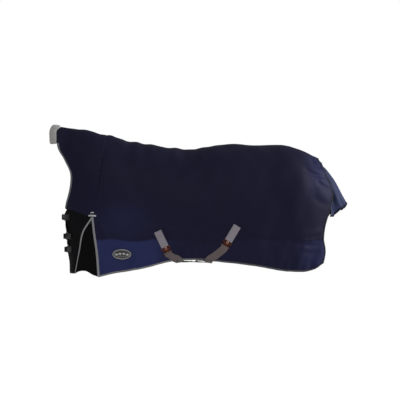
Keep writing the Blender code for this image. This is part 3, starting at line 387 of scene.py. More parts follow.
    def at(self, x: Array, y: Array, z: Array) -> Array:
        """How far the cloth stands off the form, outwards.

        Args:
            x, y, z: points of the form.
        Returns:
            The offset along the form's normal, in metres.
        """
        spot = np.stack([x, y, z], axis=-1)
        total = sum(amount * np.sin(spot @ way + phase) for way, phase, amount in self.waves)
        total = total + self.fold(x, z) + self.skirt_folds(x, z) + self.topline_bumps(x, z)
        for crease in self.creases:
            here = np.zeros(np.shape(x), bool)
            for side in crease.sides:
                here |= (y * side.value) >= 0
            total = total + np.where(here, crease.at(x, z), 0.0)
        for seam in self.seams:
            near_seam = from_line(x, z, seam)
            total = total * ease(near_seam / 0.05 + 0.25) - 0.0012 * bell(near_seam / 0.006)
        for sx, sz, radius in self.flat_spots:
            away = np.hypot(x - sx, z - sz)
            keep = np.where(y < 0, ease((away - radius * 0.7) / (radius * 0.6)), 1.0)
            total = total * keep
        for lane in self.lanes:
            away = from_line(x, z, np.array(lane))
            total = total * np.where(y < 0, 0.12 + 0.88 * ease((away - 0.024) / 0.030), 1.0)
        return total


RELIEF = Relief()


@dataclass
class Patch:
    """One panel as a grid: its points, outward normals, and metres across and down."""

    points: Array
    normals: Array
    metres: Array
    # Share of painted light at each point.
    tone: Array

    def moved(self, offset: Array) -> Array:
        """The points moved along the normals; the offset is one number or one for each point."""
        return self.points + self.normals * np.asarray(offset)[..., None]


def fill(top: Array, bottom: Array, left: Array, right: Array, columns: Array, rows: Array) -> Array:
    """Grid of (x, z) that fills four edges sampled at the columns and rows."""
    u, v = columns[None, :, None], rows[:, None, None]
    ruled = (1 - v) * top[None] + v * bottom[None] + (1 - u) * left[:, None] + u * right[:, None]
    corners = (1 - v) * ((1 - u) * top[0] + u * top[-1]) + v * ((1 - u) * bottom[0] + u * bottom[-1])
    return ruled - corners


def even_rows(x: float, low: float, count: int) -> Array:
    """Fractions down a column at x that give rows an even distance apart over the form."""
    shares = np.linspace(0.0, 1.0, 2000)
    top = float(smooth(TOPLINE, x))
    z = top + shares**2 * (low - top)
    y = FORM.half_width(np.full_like(z, x), z)
    travelled = np.concatenate([[0.0], np.cumsum(np.hypot(np.diff(y), np.diff(z)))])
    return np.interp(np.linspace(0.0, travelled[-1], count), travelled, shares**2)


def on_form(outline: Array, side: Side, at_spine: bool = False, extra: Optional[Array] = None) -> Patch:
    """Lays a grid of (x, z) on the form, with the cloth's folds.

    Args:
        outline: grid of (x, z).
        side: the horse's side.
        at_spine: whether the first row lies on the spine.
        extra: further offset at each point.
    Returns:
        The patch.
    """
    x, z = outline[..., 0], outline[..., 1]
    y = -np.maximum(FORM.half_width(x, z), FORM.flap_gap)
    normals = FORM.normals(x, z)
    if at_spine:
        y[0] = 0.0
        normals[0, :, 1] = 0.0
        normals[0] = unit(normals[0])
    flip = np.array([1.0, -side.value, 1.0])
    base = np.stack([x, y, z], axis=-1) * flip
    normals = normals * flip
    offset = RELIEF.at(x, base[..., 1], z)
    if extra is not None:
        offset = offset + extra
    points = base + normals * offset[..., None]
    metres = np.stack([metres_along(base, 1), metres_along(base, 0)], axis=-1)
    return Patch(points, normals, metres, painted_light_at(x, z))


def painted_light_at(x: Array, z: Array) -> Array:
    """How much lighter the cloth is, as painted light: below the long fold, most at the shoulder and the rear
    corner, with a painted highlight on the croup.
    """
    # Painted light on the skirt below the long fold, which faces up towards the light.
    below = ease((RELIEF.line(x) + 0.008 - z) / 0.018)
    front = 1 - ease((x + 0.02) / 0.22)
    rear = ease((x - 0.92) / 0.16)
    shoulder = 0.30 * bell((x + 0.17) / 0.20) * bell((z + 0.50) / 0.13)
    lower = below * (0.10 + 0.90 * front + 0.25 * rear)
    # Painted highlight where the rear light falls on the croup.
    croup = 0.45 * ease((x - 0.98) / 0.13) * bell((z + 0.16) / 0.16)
    return np.clip(lower + shoulder + croup, 0.0, 1.0)


def over_spine(near: Patch, far: Patch) -> Patch:
    """The two sides' patches as one grid, joined along the spine."""

    def both(name: str) -> Array:
        """The named grid of both sides, far rows after near ones."""
        return np.concatenate([getattr(near, name)[::-1], getattr(far, name)[1:]])

    down = np.concatenate([-near.metres[::-1, :, 1], far.metres[1:, :, 1]])
    metres = np.stack([both("metres")[..., 0], down], axis=-1)
    return Patch(both("points"), both("normals"), metres, both("tone"))


# ---------------------------------------------------------------- shader groups and finishes


def new_group(
    name: str, inputs: Sequence[tuple[str, str, object]], outputs: Sequence[tuple[str, str]]
) -> tuple[bpy.types.NodeTree, bpy.types.Node, bpy.types.Node]:
    """Node group with its sockets, and its input and output nodes.

    Args:
        name: the group's name.
        inputs: name, socket type and default of each input.
        outputs: name and socket type of each output.
    Returns:
        The group, its input node and its output node.
    """
    group = bpy.data.node_groups.new(name, "ShaderNodeTree")
    for label, kind, default in inputs:
        socket = group.interface.new_socket(name=label, in_out="INPUT", socket_type=kind)
        if default is not None:
            socket.default_value = default
    for label, kind in outputs:
        group.interface.new_socket(name=label, in_out="OUTPUT", socket_type=kind)
    return group, group.nodes.new("NodeGroupInput"), group.nodes.new("NodeGroupOutput")


def link(tree: bpy.types.NodeTree, source: object, target: object) -> None:
    """Joins two sockets, or sets the target to a plain value."""
    if isinstance(source, bpy.types.NodeSocket):
        tree.links.new(source, target)
    else:
        target.default_value = source


def maths(tree: bpy.types.NodeTree, operation: str, *values: object) -> bpy.types.NodeSocket:
    """Math node on sockets or numbers; returns its output."""
    node = tree.nodes.new("ShaderNodeMath")
    node.operation = operation
    for socket, value in zip(node.inputs, values):
        link(tree, value, socket)
    return node.outputs[0]


def mixed(tree: bpy.types.NodeTree, factor: object, first: object, second: object) -> bpy.types.NodeSocket:
    """Mix of two colours; returns its output."""
    node = tree.nodes.new("ShaderNodeMix")
    node.data_type = "RGBA"
    link(tree, factor, node.inputs[0])
    link(tree, first, node.inputs[6])
    link(tree, second, node.inputs[7])
    return node.outputs[2]


def noise(tree: bpy.types.NodeTree, where: object, scale: float, detail: float = 3.0) -> bpy.types.NodeSocket:
    """Noise texture; returns its value."""
    node = tree.nodes.new("ShaderNodeTexNoise")
    node.inputs["Scale"].default_value = scale
    node.inputs["Detail"].default_value = detail
    link(tree, where, node.inputs["Vector"])
    return node.outputs["Fac"]


def weave_group() -> bpy.types.NodeTree:
    """Group: height of a plain weave with thicker ripstop threads, from coordinates in metres."""
    group, start, end = new_group(
        "woven threads",
        [
            ("Metres", "NodeSocketVector", None), ("Threads", "NodeSocketFloat", 900.0),
            ("Ribs", "NodeSocketFloat", 160.0),
        ],
        [("Height", "NodeSocketFloat"), ("Shade", "NodeSocketFloat")],
    )
    split = group.nodes.new("ShaderNodeSeparateXYZ")
    group.links.new(start.outputs["Metres"], split.inputs[0])
    waves, ribs = [], []
    for axis in (0, 1):
        turn = maths(group, "MULTIPLY", split.outputs[axis], start.outputs["Threads"])
        waves.append(maths(group, "SINE", maths(group, "MULTIPLY", turn, math.tau)))
        rib = maths(group, "MULTIPLY", split.outputs[axis], start.outputs["Ribs"])
        peak = maths(group, "COSINE", maths(group, "MULTIPLY", rib, math.tau))
        ribs.append(maths(group, "MAXIMUM", maths(group, "SUBTRACT", peak, 0.86), 0.0))
    cross = maths(group, "MULTIPLY", waves[0], waves[1])
    raised = maths(group, "MULTIPLY", maths(group, "MAXIMUM", ribs[0], ribs[1]), 5.0)
    height = maths(group, "ADD", maths(group, "MULTIPLY", cross, 0.30), raised)
    group.links.new(height, end.inputs["Height"])
    # Painted shade: the colour darkens between the threads and lightens on the raised ribs.
    shade = maths(group, "MULTIPLY_ADD", height, 0.10, 0.95)
    group.links.new(shade, end.inputs["Shade"])
    return group


def patina_group() -> bpy.types.NodeTree:
    """Group: a colour that fades in soft patches, and a mask of the same patches."""
    group, start, end = new_group(
        "soft fading",
        [
            ("Colour", "NodeSocketColor", None), ("Faded", "NodeSocketColor", None),
            ("Scale", "NodeSocketFloat", 4.0), ("Amount", "NodeSocketFloat", 0.5),
        ],
        [("Colour", "NodeSocketColor"), ("Mask", "NodeSocketFloat")],
    )
    place = group.nodes.new("ShaderNodeTexCoord")
    node = group.nodes.new("ShaderNodeTexNoise")
    node.inputs["Detail"].default_value = 4.0
    group.links.new(place.outputs["Object"], node.inputs["Vector"])
    group.links.new(start.outputs["Scale"], node.inputs["Scale"])
    patches = maths(group, "MULTIPLY", node.outputs["Fac"], start.outputs["Amount"])
    colour = mixed(group, patches, start.outputs["Colour"], start.outputs["Faded"])
    group.links.new(colour, end.inputs["Colour"])
    group.links.new(patches, end.inputs["Mask"])
    return group


WEAVE = weave_group()
FADING = patina_group()


@dataclass(frozen=True)
class Cloth:
    """A woven finish. Threads and ribs are counted per metre."""

    name: str
    colour: Colour
    faded: Colour
    # Colour of painted light, mixed in by the painted-light share stored on the points.
    lit: Optional[Colour] = None
    roughness: float = 0.62
    sheen: float = 0.15
    threads: float = 900.0
    ribs: float = 160.0
    relief: float = 0.00008
    fuzz: float = 0.0
    patches: float = 3.0

    def material(self) -> bpy.types.Material:
        """The finish's material, made once."""
        known = bpy.data.materials.get(self.name)
        if known:
            return known
        made = bpy.data.materials.new(self.name)
        made.use_nodes = True
        tree = made.node_tree
        shader = tree.nodes["Principled BSDF"]
        shader.inputs["Sheen Weight"].default_value = self.sheen
        shader.inputs["Sheen Roughness"].default_value = 0.45
        shader.inputs["Specular IOR Level"].default_value = 0.10
        place = tree.nodes.new("ShaderNodeTexCoord")
        weave = tree.nodes.new("ShaderNodeGroup")
        weave.node_tree = WEAVE
        weave.inputs["Threads"].default_value = self.threads
        weave.inputs["Ribs"].default_value = self.ribs
        tree.links.new(place.outputs["UV"], weave.inputs["Metres"])
        tint: object = (*self.colour, 1.0)
        # Painted light: the lit colour is mixed in by the share stored on the points.
        if self.lit:
            tone = tree.nodes.new("ShaderNodeAttribute")
            tone.attribute_name = "tone"
            tint = mixed(tree, tone.outputs["Fac"], tint, (*self.lit, 1.0))
        colour_blend = tree.nodes.new("ShaderNodeGroup")
        colour_blend.node_tree = FADING
        link(tree, tint, colour_blend.inputs["Colour"])
        colour_blend.inputs["Faded"].default_value = (*self.faded, 1.0)
        colour_blend.inputs["Scale"].default_value = self.patches
        colour_blend.inputs["Amount"].default_value = 0.45
        shaded = tree.nodes.new("ShaderNodeVectorMath")
        shaded.operation = "SCALE"
        tree.links.new(colour_blend.outputs["Colour"], shaded.inputs[0])
        tree.links.new(weave.outputs["Shade"], shaded.inputs["Scale"])
        tree.links.new(shaded.outputs[0], shader.inputs["Base Color"])
        rough = maths(tree, "MULTIPLY_ADD", colour_blend.outputs["Mask"], 0.25, self.roughness - 0.05)
        tree.links.new(rough, shader.inputs["Roughness"])
        height = weave.outputs["Height"]
        if self.fuzz:
            pile = noise(tree, place.outputs["Object"], 420.0, 2.0)
            height = maths(tree, "MULTIPLY_ADD", pile, self.fuzz, height)
        bump = tree.nodes.new("ShaderNodeBump")
        bump.inputs["Distance"].default_value = self.relief
        tree.links.new(height, bump.inputs["Height"])
        tree.links.new(bump.outputs["Normal"], shader.inputs["Normal"])
        return made


@dataclass(frozen=True)
class Metal:
    """A plated or cast finish, with worn spots."""

    name: str
    colour: Colour
    worn: Colour
    roughness: float = 0.30
    metallic: float = 1.0
    coat: float = 0.0

    def material(self) -> bpy.types.Material:
        """The finish's material, made once."""
        known = bpy.data.materials.get(self.name)
        if known:
            return known
        made = bpy.data.materials.new(self.name)
        made.use_nodes = True
        tree = made.node_tree
        shader = tree.nodes["Principled BSDF"]
        shader.inputs["Metallic"].default_value = self.metallic
        shader.inputs["Coat Weight"].default_value = self.coat
        place = tree.nodes.new("ShaderNodeTexCoord")
        colour_blend = tree.nodes.new("ShaderNodeGroup")
        colour_blend.node_tree = FADING
        colour_blend.inputs["Colour"].default_value = (*self.colour, 1.0)
        colour_blend.inputs["Faded"].default_value = (*self.worn, 1.0)
        colour_blend.inputs["Scale"].default_value = 90.0
        colour_blend.inputs["Amount"].default_value = 0.9
        tree.links.new(colour_blend.outputs["Colour"], shader.inputs["Base Color"])
        rough = maths(tree, "MULTIPLY_ADD", colour_blend.outputs["Mask"], 0.30, self.roughness - 0.10)
        tree.links.new(rough, shader.inputs["Roughness"])
        bump = tree.nodes.new("ShaderNodeBump")
        bump.inputs["Distance"].default_value = 0.00015
        tree.links.new(noise(tree, place.outputs["Object"], 260.0), bump.inputs["Height"])
        tree.links.new(bump.outputs["Normal"], shader.inputs["Normal"])
        return made


Finish = Cloth | Metal

TAPE_WEAVE = {"threads": 700.0, "ribs": 350.0, "relief": 0.00015, "patches": 14.0}
WEBBING_WEAVE = {"threads": 420.0, "ribs": 210.0, "relief": 0.00035, "patches": 22.0}
FLEECE_PILE = {"threads": 400.0, "ribs": 1.0, "relief": 0.0012, "fuzz": 1.0, "patches": 30.0}

# The third colour is painted light, mixed in below the long fold, at the shoulder and on the croup.
NAVY = Cloth(
    "navy ripstop", (0.0078, 0.0074, 0.0240), (0.0110, 0.0108, 0.0330), (0.0250, 0.0320, 0.1150), sheen=0.0
)
# A lighter copy of the navy ripstop, as painted light on the flap, which faces the rear light; its third
# colour is painted light too.
PAINTED_LIGHT_FLAP_NAVY = Cloth(
    "tail flap ripstop", (0.014, 0.016, 0.040), (0.020, 0.024, 0.060), (0.038, 0.048, 0.115), sheen=0.0
)
# Near-black: partly the cloth's dark colour, partly painted shade on the chest, which turns away from the
# light.
CHEST_BLACK_AND_PAINTED_SHADE = Cloth(
    "black chest cloth", (0.0034, 0.0030, 0.0040), (0.0052, 0.0048, 0.0060), roughness=0.80, sheen=0.0
)
# Darker than the chest cloth: black cloth with painted shade in the pleated recess.
GUSSET_BLACK_AND_PAINTED_SHADE = Cloth(
    "black gusset cloth", (0.0018, 0.0015, 0.0019), (0.0034, 0.0030, 0.0036), roughness=0.85, sheen=0.0
)
LINING = Cloth(
    "quilted lining", (0.018, 0.019, 0.038), (0.028, 0.030, 0.055),
    roughness=0.42, sheen=0.05, threads=1600.0, ribs=1.0,
)
# The hem tape is grey; its navy towards the belly and up the rear edge is painted shade.
HEM_TAPE = Cloth(
    "hem tape", (0.0140, 0.0140, 0.0220), (0.0300, 0.0300, 0.0380), (0.240, 0.240, 0.250),
    roughness=0.78, sheen=0.0, **TAPE_WEAVE,
)
GREY_TAPE = Cloth("grey tape", (0.230, 0.230, 0.245), (0.330, 0.330, 0.340), roughness=0.78, **TAPE_WEAVE)
NECK_TAPE = Cloth(
    "dark grey tape", (0.135, 0.136, 0.148), (0.190, 0.190, 0.198), roughness=0.78, **TAPE_WEAVE
)
BLACK_TAPE = Cloth(
    "black tape", (0.0050, 0.0048, 0.0055), (0.012, 0.012, 0.013), roughness=0.72, **TAPE_WEAVE
)
FLEECE = Cloth(
    "pale grey fleece", (0.330, 0.325, 0.312), (0.420, 0.412, 0.398), roughness=0.95, sheen=0.5, **FLEECE_PILE
)
WEBBING = Cloth(
    "grey webbing", (0.250, 0.228, 0.262), (0.340, 0.315, 0.350), roughness=0.82, sheen=0.2, **WEBBING_WEAVE
)
BELLY_WEBBING = Cloth(
    "worn grey webbing", (0.120, 0.096, 0.096), (0.200, 0.165, 0.165),
    roughness=0.85, sheen=0.2, **WEBBING_WEAVE,
)
BEIGE_WEBBING = Cloth(
    "beige webbing", (0.240, 0.200, 0.165), (0.340, 0.300, 0.260), roughness=0.85, sheen=0.1, **WEBBING_WEAVE
)
STRAP_BLACK = Cloth(
    "black webbing", (0.0048, 0.0044, 0.0050), (0.016, 0.015, 0.016),
    roughness=0.60, threads=420.0, ribs=210.0, relief=0.0003, patches=22.0,
)
THREAD = Cloth("navy thread", (0.011, 0.011, 0.026), (0.018, 0.018, 0.038), roughness=0.60, patches=30.0)
GREY_THREAD = Cloth("grey thread", (0.260, 0.255, 0.265), (0.330, 0.325, 0.335), roughness=0.60, patches=30.0)
REFLECTOR = Metal("silver reflector", (0.46, 0.46, 0.48), (0.72, 0.72, 0.74), roughness=0.38, metallic=0.7)
COPPER = Metal("copper-brown plating", (0.055, 0.016, 0.008), (0.200, 0.070, 0.040), roughness=0.34)
BRIGHT_COPPER = Metal("bright copper", (0.500, 0.200, 0.120), (0.800, 0.520, 0.420), roughness=0.24)
DARK_STEEL = Metal("dark steel", (0.050, 0.048, 0.048), (0.420, 0.400, 0.380), roughness=0.30)
BADGE_SILVER = Metal(
    "pale badge silver", (0.420, 0.415, 0.420), (0.640, 0.630, 0.630), roughness=0.45, metallic=0.35
)
BADGE_BLACK = Metal(
    "badge black", (0.006, 0.006, 0.008), (0.016, 0.015, 0.018), roughness=0.32, metallic=0.0, coat=0.4
)


# ---------------------------------------------------------------- building pieces


def finished(piece: Piece, finish: Finish) -> Piece:
    """Gives the piece its finish."""
    piece.data.materials.clear()
    piece.data.materials.append(finish.material())
    return piece


def report(piece: Piece) -> Piece:
    """Logs the finished piece."""
    LOG.info("%s: %d vertices", piece.name, len(piece.data.vertices))
    return piece


def mesh_piece(name: str, points: Array, faces: Sequence, metres: Optional[Array] = None) -> Piece:
    """Smooth-shaded object from points and faces, with metres as its UV map."""
    mesh = bpy.data.meshes.new(name)
    mesh.from_pydata([tuple(p) for p in np.asarray(points, float)], [], [tuple(map(int, f)) for f in faces])
    mesh.polygons.foreach_set("use_smooth", [True] * len(mesh.polygons))
    if metres is not None:
        layer = mesh.uv_layers.new(name="metres")
        corners = np.empty(len(mesh.loops), np.int32)
        mesh.loops.foreach_get("vertex_index", corners)
        layer.data.foreach_set("uv", np.asarray(metres, np.float32)[corners].ravel())
    mesh.update()
    piece = bpy.data.objects.new(name, mesh)
    bpy.context.scene.collection.objects.link(piece)
    return piece


def grid_faces(rows: int, columns: int, flip: bool, loop: bool = False) -> Array:
    """Quads over a grid of points; with `loop` the last row joins the first."""
    down = np.arange(rows if loop else rows - 1)
    i, j = np.meshgrid(down, np.arange(columns - 1), indexing="ij")
    following = (i + 1) % rows
    a, b = i * columns + j, i * columns + j + 1
    c, d = following * columns + j + 1, following * columns + j
    faces = np.stack([a, b, c, d], axis=-1).reshape(-1, 4)
    return faces[:, ::-1] if flip else faces


def sheet_piece(name: str, patch: Patch, thickness: float, grid: Optional[Array] = None) -> Piece:
    """Sheet of cloth over a patch's grid, thickened inwards."""
    points = patch.points if grid is None else grid
    rows, columns = points.shape[:2]
    middle = (rows // 2, columns // 2)
    a, b, c = points[middle], points[middle[0], middle[1] + 1], points[middle[0] + 1, middle[1]]
    flip = np.cross(b - a, c - a) @ patch.normals[middle] < 0
    piece = mesh_piece(
        name, points.reshape(-1, 3), grid_faces(rows, columns, flip), patch.metres.reshape(-1, 2)
    )
    # The share of painted light, stored on the points for the material.
    tone = piece.data.attributes.new("tone", "FLOAT", "POINT")
    tone.data.foreach_set("value", patch.tone.astype(np.float32).ravel())
    solid = piece.modifiers.new("thickness", "SOLIDIFY")
    solid.thickness = thickness
    solid.offset = -1.0
    return piece


def swept(
    name: str, path: Array, across: Array, normals: Array, section: Array, closed: bool = False
) -> Piece:
    """Closed section swept along a path, with its ends capped.

    Args:
        name: the piece's name.
        path: centre points.
        across: unit vectors of the section's first axis at each point.
        normals: unit vectors of its second axis.
        section: closed outline as (across, out) in metres, or one for each point.
        closed: whether the path joins its own start.
    Returns:
        The piece.
    """
    outline = np.broadcast_to(section, (len(path), *np.shape(section)[-2:]))
    rings = path[:, None] + across[:, None] * outline[..., :1] + normals[:, None] * outline[..., 1:]
    count, around = rings.shape[:2]
    travelled = metres_along(path, 0)
    girth = np.concatenate([[0.0], np.cumsum(np.linalg.norm(np.diff(outline[0], axis=0), axis=-1))])
    metres = np.stack(np.broadcast_arrays(girth[None], travelled[:, None]), axis=-1)
    faces = []
    for i in range(count if closed else count - 1):
        for j in range(around):
            a, b = i * around + j, i * around + (j + 1) % around
            c, d = ((i + 1) % count) * around + (j + 1) % around, ((i + 1) % count) * around + j
            faces.append((a, b, c, d))
    if not closed:
        faces.append(tuple(range(around))[::-1])
        faces.append(tuple((count - 1) * around + j for j in range(around)))
    spin = np.cross(outline[0][1] - outline[0][0], outline[0][2] - outline[0][1])
    turn = np.cross(across[0], normals[0]) @ (path[1] - path[0])
    if spin * turn > 0:
        faces = [face[::-1] for face in faces]
    return mesh_piece(name, rings.reshape(-1, 3), faces, metres.reshape(-1, 2))


def webbing_section(width: float, thickness: float, crown: float = 0.0) -> Array:
    """Flat section with rounded edges; its inner face lies at 0."""
    half, edge = width / 2, thickness / 2
    slope, top = half - edge * 0.3, thickness + crown
    outer = [(-slope, thickness * 0.85), (-half * 0.6, thickness + crown * 0.7), (0.0, top)]
    outer += [(-x, h) for x, h in outer[1::-1]]
    ends = [(half, edge), (slope, thickness * 0.1), (0.0, 0.0), (-slope, thickness * 0.1), (-half, edge)]
    return np.array(outer + ends)


def frames_of(points: Array, normals: Array) -> tuple[Array, Array]:
    """Width directions and matching normals along a strap's path."""
    travel = unit(np.gradient(points, axis=0))
    across = unit(np.cross(normals, travel))
    return across, unit(np.cross(travel, across))


def surface(x: Array, z: Array, side: Side, lift: Array) -> tuple[Array, Array]:
    """Points and normals over the folded cloth at (x, z), lifted off it."""
    x, z = np.asarray(x, float), np.asarray(z, float)
    flip = np.array([1.0, -side.value, 1.0])
    base = np.stack([x, -FORM.half_width(x, z), z], axis=-1) * flip
    normals = FORM.normals(x, z) * flip
    offset = RELIEF.at(x, base[..., 1], z) + lift
    return base + normals * offset[..., None], normals


def read_at(place: float | Array, travelled: Array, values: Array) -> Array:
    """The three columns of the values at a distance travelled."""
    return np.stack([np.interp(place, travelled, values[:, k]) for k in range(3)], axis=-1)


@dataclass
class Stitches:
    """Rows of thread that become one piece."""

    length: float = 0.0044
    pitch: float = 0.0062
    width: float = 0.0009
    points: list = field(default_factory=list)

    def run(self, path: Array, normals: Array, lift: float = 0.0006) -> None:
        """Adds stitches along a path."""
        travelled = metres_along(np.asarray(path), 0)
        count = int(travelled[-1] / self.pitch)
        for k in range(count):
            start = (k + 0.2) * self.pitch
            ends = [read_at(place, travelled, path) for place in (start, start + self.length)]
            normal = unit(read_at(start, travelled, normals))
            way = unit(ends[1] - ends[0])
            across = np.cross(normal, way) * self.width / 2
            middle = (ends[0] + ends[1]) / 2 + normal * lift
            up = normal * self.width / 2
            self.points.append([ends[0], ends[1], middle + across, middle - across, middle + up, middle - up])

    def piece(self, name: str, finish: Finish, slot: str) -> Piece:
        """All the stitches as one piece."""
        faces = []
        corners = ((0, 2, 4), (2, 1, 4), (1, 3, 4), (3, 0, 4), (2, 0, 5), (1, 2, 5), (3, 1, 5), (0, 3, 5))
        for k in range(len(self.points)):
            faces += [tuple(6 * k + c for c in corner) for corner in corners]
        points = np.array(self.points).reshape(-1, 3)
        return finished(mesh_piece(name, points, faces, points[:, [0, 2]]), finish)


# ---------------------------------------------------------------- sub-assemblies


@dataclass
class RugShell:
    """The neck and the body: outer cloth and quilted lining, each over the spine in one piece."""

    cloth: float = 0.0012
    lining: float = 0.0010
    wadding: float = 0.0070
    edge_gap: float = 0.0006
    quilt: float = 0.110
    body_size: tuple[int, int] = (128, 210)
    neck_size: tuple[int, int] = (86, 44)

    def body(self, side: Side, rows: int, columns: int) -> Patch:
        """The body's patch on one side."""
        down = even_rows(0.45, -0.76, rows)
        across = np.linspace(0.0, 1.0, columns)
        x = SHOULDER_SEAM[0][0] + across * (REAR_EDGE[0][0] - SHOULDER_SEAM[0][0])
        top = np.stack([x, smooth(TOPLINE, x)], axis=1)
        upper = along(SHOULDER_SEAM, np.minimum(down / SEAM_SHARE, 1.0))
        lower = along(GUSSET_REAR, np.maximum((down - SEAM_SHARE) / (1 - SEAM_SHARE), 0.0))
        left = np.where((down <= SEAM_SHARE)[:, None], upper, lower)
        right = along(REAR_EDGE, down)
        left[0], right[0] = top[0], top[-1]
        bottom = along(HEM, across)
        return on_form(fill(top, bottom, left, right, across, down), side, at_spine=True)

    def neck(self, side: Side, rows: int, columns: int) -> Patch:
        """The neck's patch on one side."""
        down = even_rows(-0.40, -0.45, rows)
        across = np.linspace(0.0, 1.0, columns)
        x = NECK_EDGE[0][0] + across * (SHOULDER_SEAM[0][0] - NECK_EDGE[0][0])
        top = np.stack([x, smooth(TOPLINE, x)], axis=1)
        left, right = along(NECK_EDGE, down), along(SHOULDER_SEAM, down)
        left[0], right[0] = top[0], top[-1]
        bottom = along(CHEST_SEAM, across)
        return on_form(fill(top, bottom, left, right, across, down), side, at_spine=True)

    def quilted(self, patch: Patch) -> Array:
        """The lining's outer face: sewn in squares, thin at the edges and full between."""
        across, down = patch.metres[..., 0], patch.metres[..., 1]
        puff = np.abs(np.sin(across * math.pi / self.quilt) * np.sin(down * math.pi / self.quilt)) ** 0.45
        ends = np.minimum(across, across[:, -1:] - across)
        hems = np.minimum(np.abs(down - down[:1]), np.abs(down[-1:] - down))
        inside = ease(np.minimum(ends, hems) / 0.04)
        depth = self.cloth + self.edge_gap + inside * self.wadding * (0.35 + 0.65 * puff)
        return patch.moved(-depth)

    def build(self) -> dict[str, dict[Side, Patch]]:
        """Makes the four sheets.

        Returns:
            The patches of each panel on each side, for the bindings.
        """
        patches: dict[str, dict[Side, Patch]] = {}
        for part, make, cells in (("body", self.body, self.body_size), ("neck", self.neck, self.neck_size)):
            sides = {side: make(side, *cells) for side in Side}
            patches[part] = sides
            whole = over_spine(sides[Side.NEAR], sides[Side.FAR])
            cloth = finished(sheet_piece(f"{part}_cloth", whole, self.cloth), NAVY)
            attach(cloth, "rug")
            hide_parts(f"{part}_outer_near", f"{part}_outer_far")
            quilting = sheet_piece(f"{part}_quilting", whole, self.lining, self.quilted(whole))
            inner = finished(quilting, LINING)
            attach(inner, "rug")
            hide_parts(f"{part}_lining", f"{part}_wadding")
            for piece in (cloth, inner):
                report(piece)
        return patches


@dataclass
class ChestPanels:
    """The black chest flaps, partly painted shade, with their linings, and the pleated gussets behind them,
    darker with painted shade.
    """

    cloth: float = 0.0012
    lining: float = 0.0008
    rows: int = 60
    flap_columns: int = 30
    gusset_columns: int = 33
    pleats: float = 2.5
    facing_depth: float = 0.0017
    flap_size: tuple[float, float, float] = (0.24, 0.44, 0.066)
    gusset_size: tuple[float, float, float] = (0.19, 0.40, 0.040)
    pleat_depth: float = 0.011

    def flap(self, side: Side) -> Patch:
        """One chest flap's patch."""
        down, across = np.linspace(0.0, 1.0, self.rows), np.linspace(0.0, 1.0, self.flap_columns)
        top = along(CHEST_SEAM, across)
        left, right = FORM.chest_edge(down), along(GUSSET_FRONT, down)
        left[0] = top[0]
        bottom = along([tuple(left[-1]), tuple(right[-1])], across)
        return on_form(fill(top, bottom, left, right, across, down), side)

    def gusset(self, side: Side) -> Patch:
        """One gusset's patch, folded in pleats that open towards the hem."""
        down, across = np.linspace(0.03, 1.0, self.rows), np.linspace(0.0, 1.0, self.gusset_columns)
        left, right = along(GUSSET_FRONT, down), along(GUSSET_REAR, down)
        top = along([tuple(left[0]), tuple(right[0])], across)
        bottom = along(GUSSET_HEM, across)
        share = (down - down[0]) / (1 - down[0])
        outline = fill(top, bottom, left, right, across, share)
        u, v = across[None], share[:, None]
        hold = np.sin(u * math.pi) ** 0.5
        waves = 0.5 - 0.5 * np.cos(u * math.tau * self.pleats + 0.6 * v)
        depth = -self.pleat_depth * ease(v * 1.6) * hold * (0.35 + 0.65 * waves)
        return on_form(outline, side, extra=depth)

    def build(self) -> dict[str, dict[Side, Patch]]:
        """Makes flaps, linings and gussets on both sides; returns their patches."""
        patches: dict[str, dict[Side, Patch]] = {"chest": {}, "gusset": {}}
        for side in Side:
            flap, gusset = self.flap(side), self.gusset(side)
            patches["chest"][side], patches["gusset"][side] = flap, gusset
            word = side.label
            cloth = finished(sheet_piece(f"chest_flap_{word}", flap, self.cloth), CHEST_BLACK_AND_PAINTED_SHADE)
            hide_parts(f"chest_outer_{word}")
            back = sheet_piece(f"chest_facing_{word}", flap, self.lining, flap.moved(-self.facing_depth))
            inner = finished(back, LINING)
            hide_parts(f"chest_lining_{word}")
            pleated = sheet_piece(f"gusset_cloth_{word}", gusset, self.cloth)
            finished(pleated, GUSSET_BLACK_AND_PAINTED_SHADE)
            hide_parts(f"gusset_{word}")
            sizes = ((cloth, self.flap_size), (inner, self.flap_size), (pleated, self.gusset_size))
            for piece, (*flat, area) in sizes:
                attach(piece, "rug")
                report(piece)
        return patches


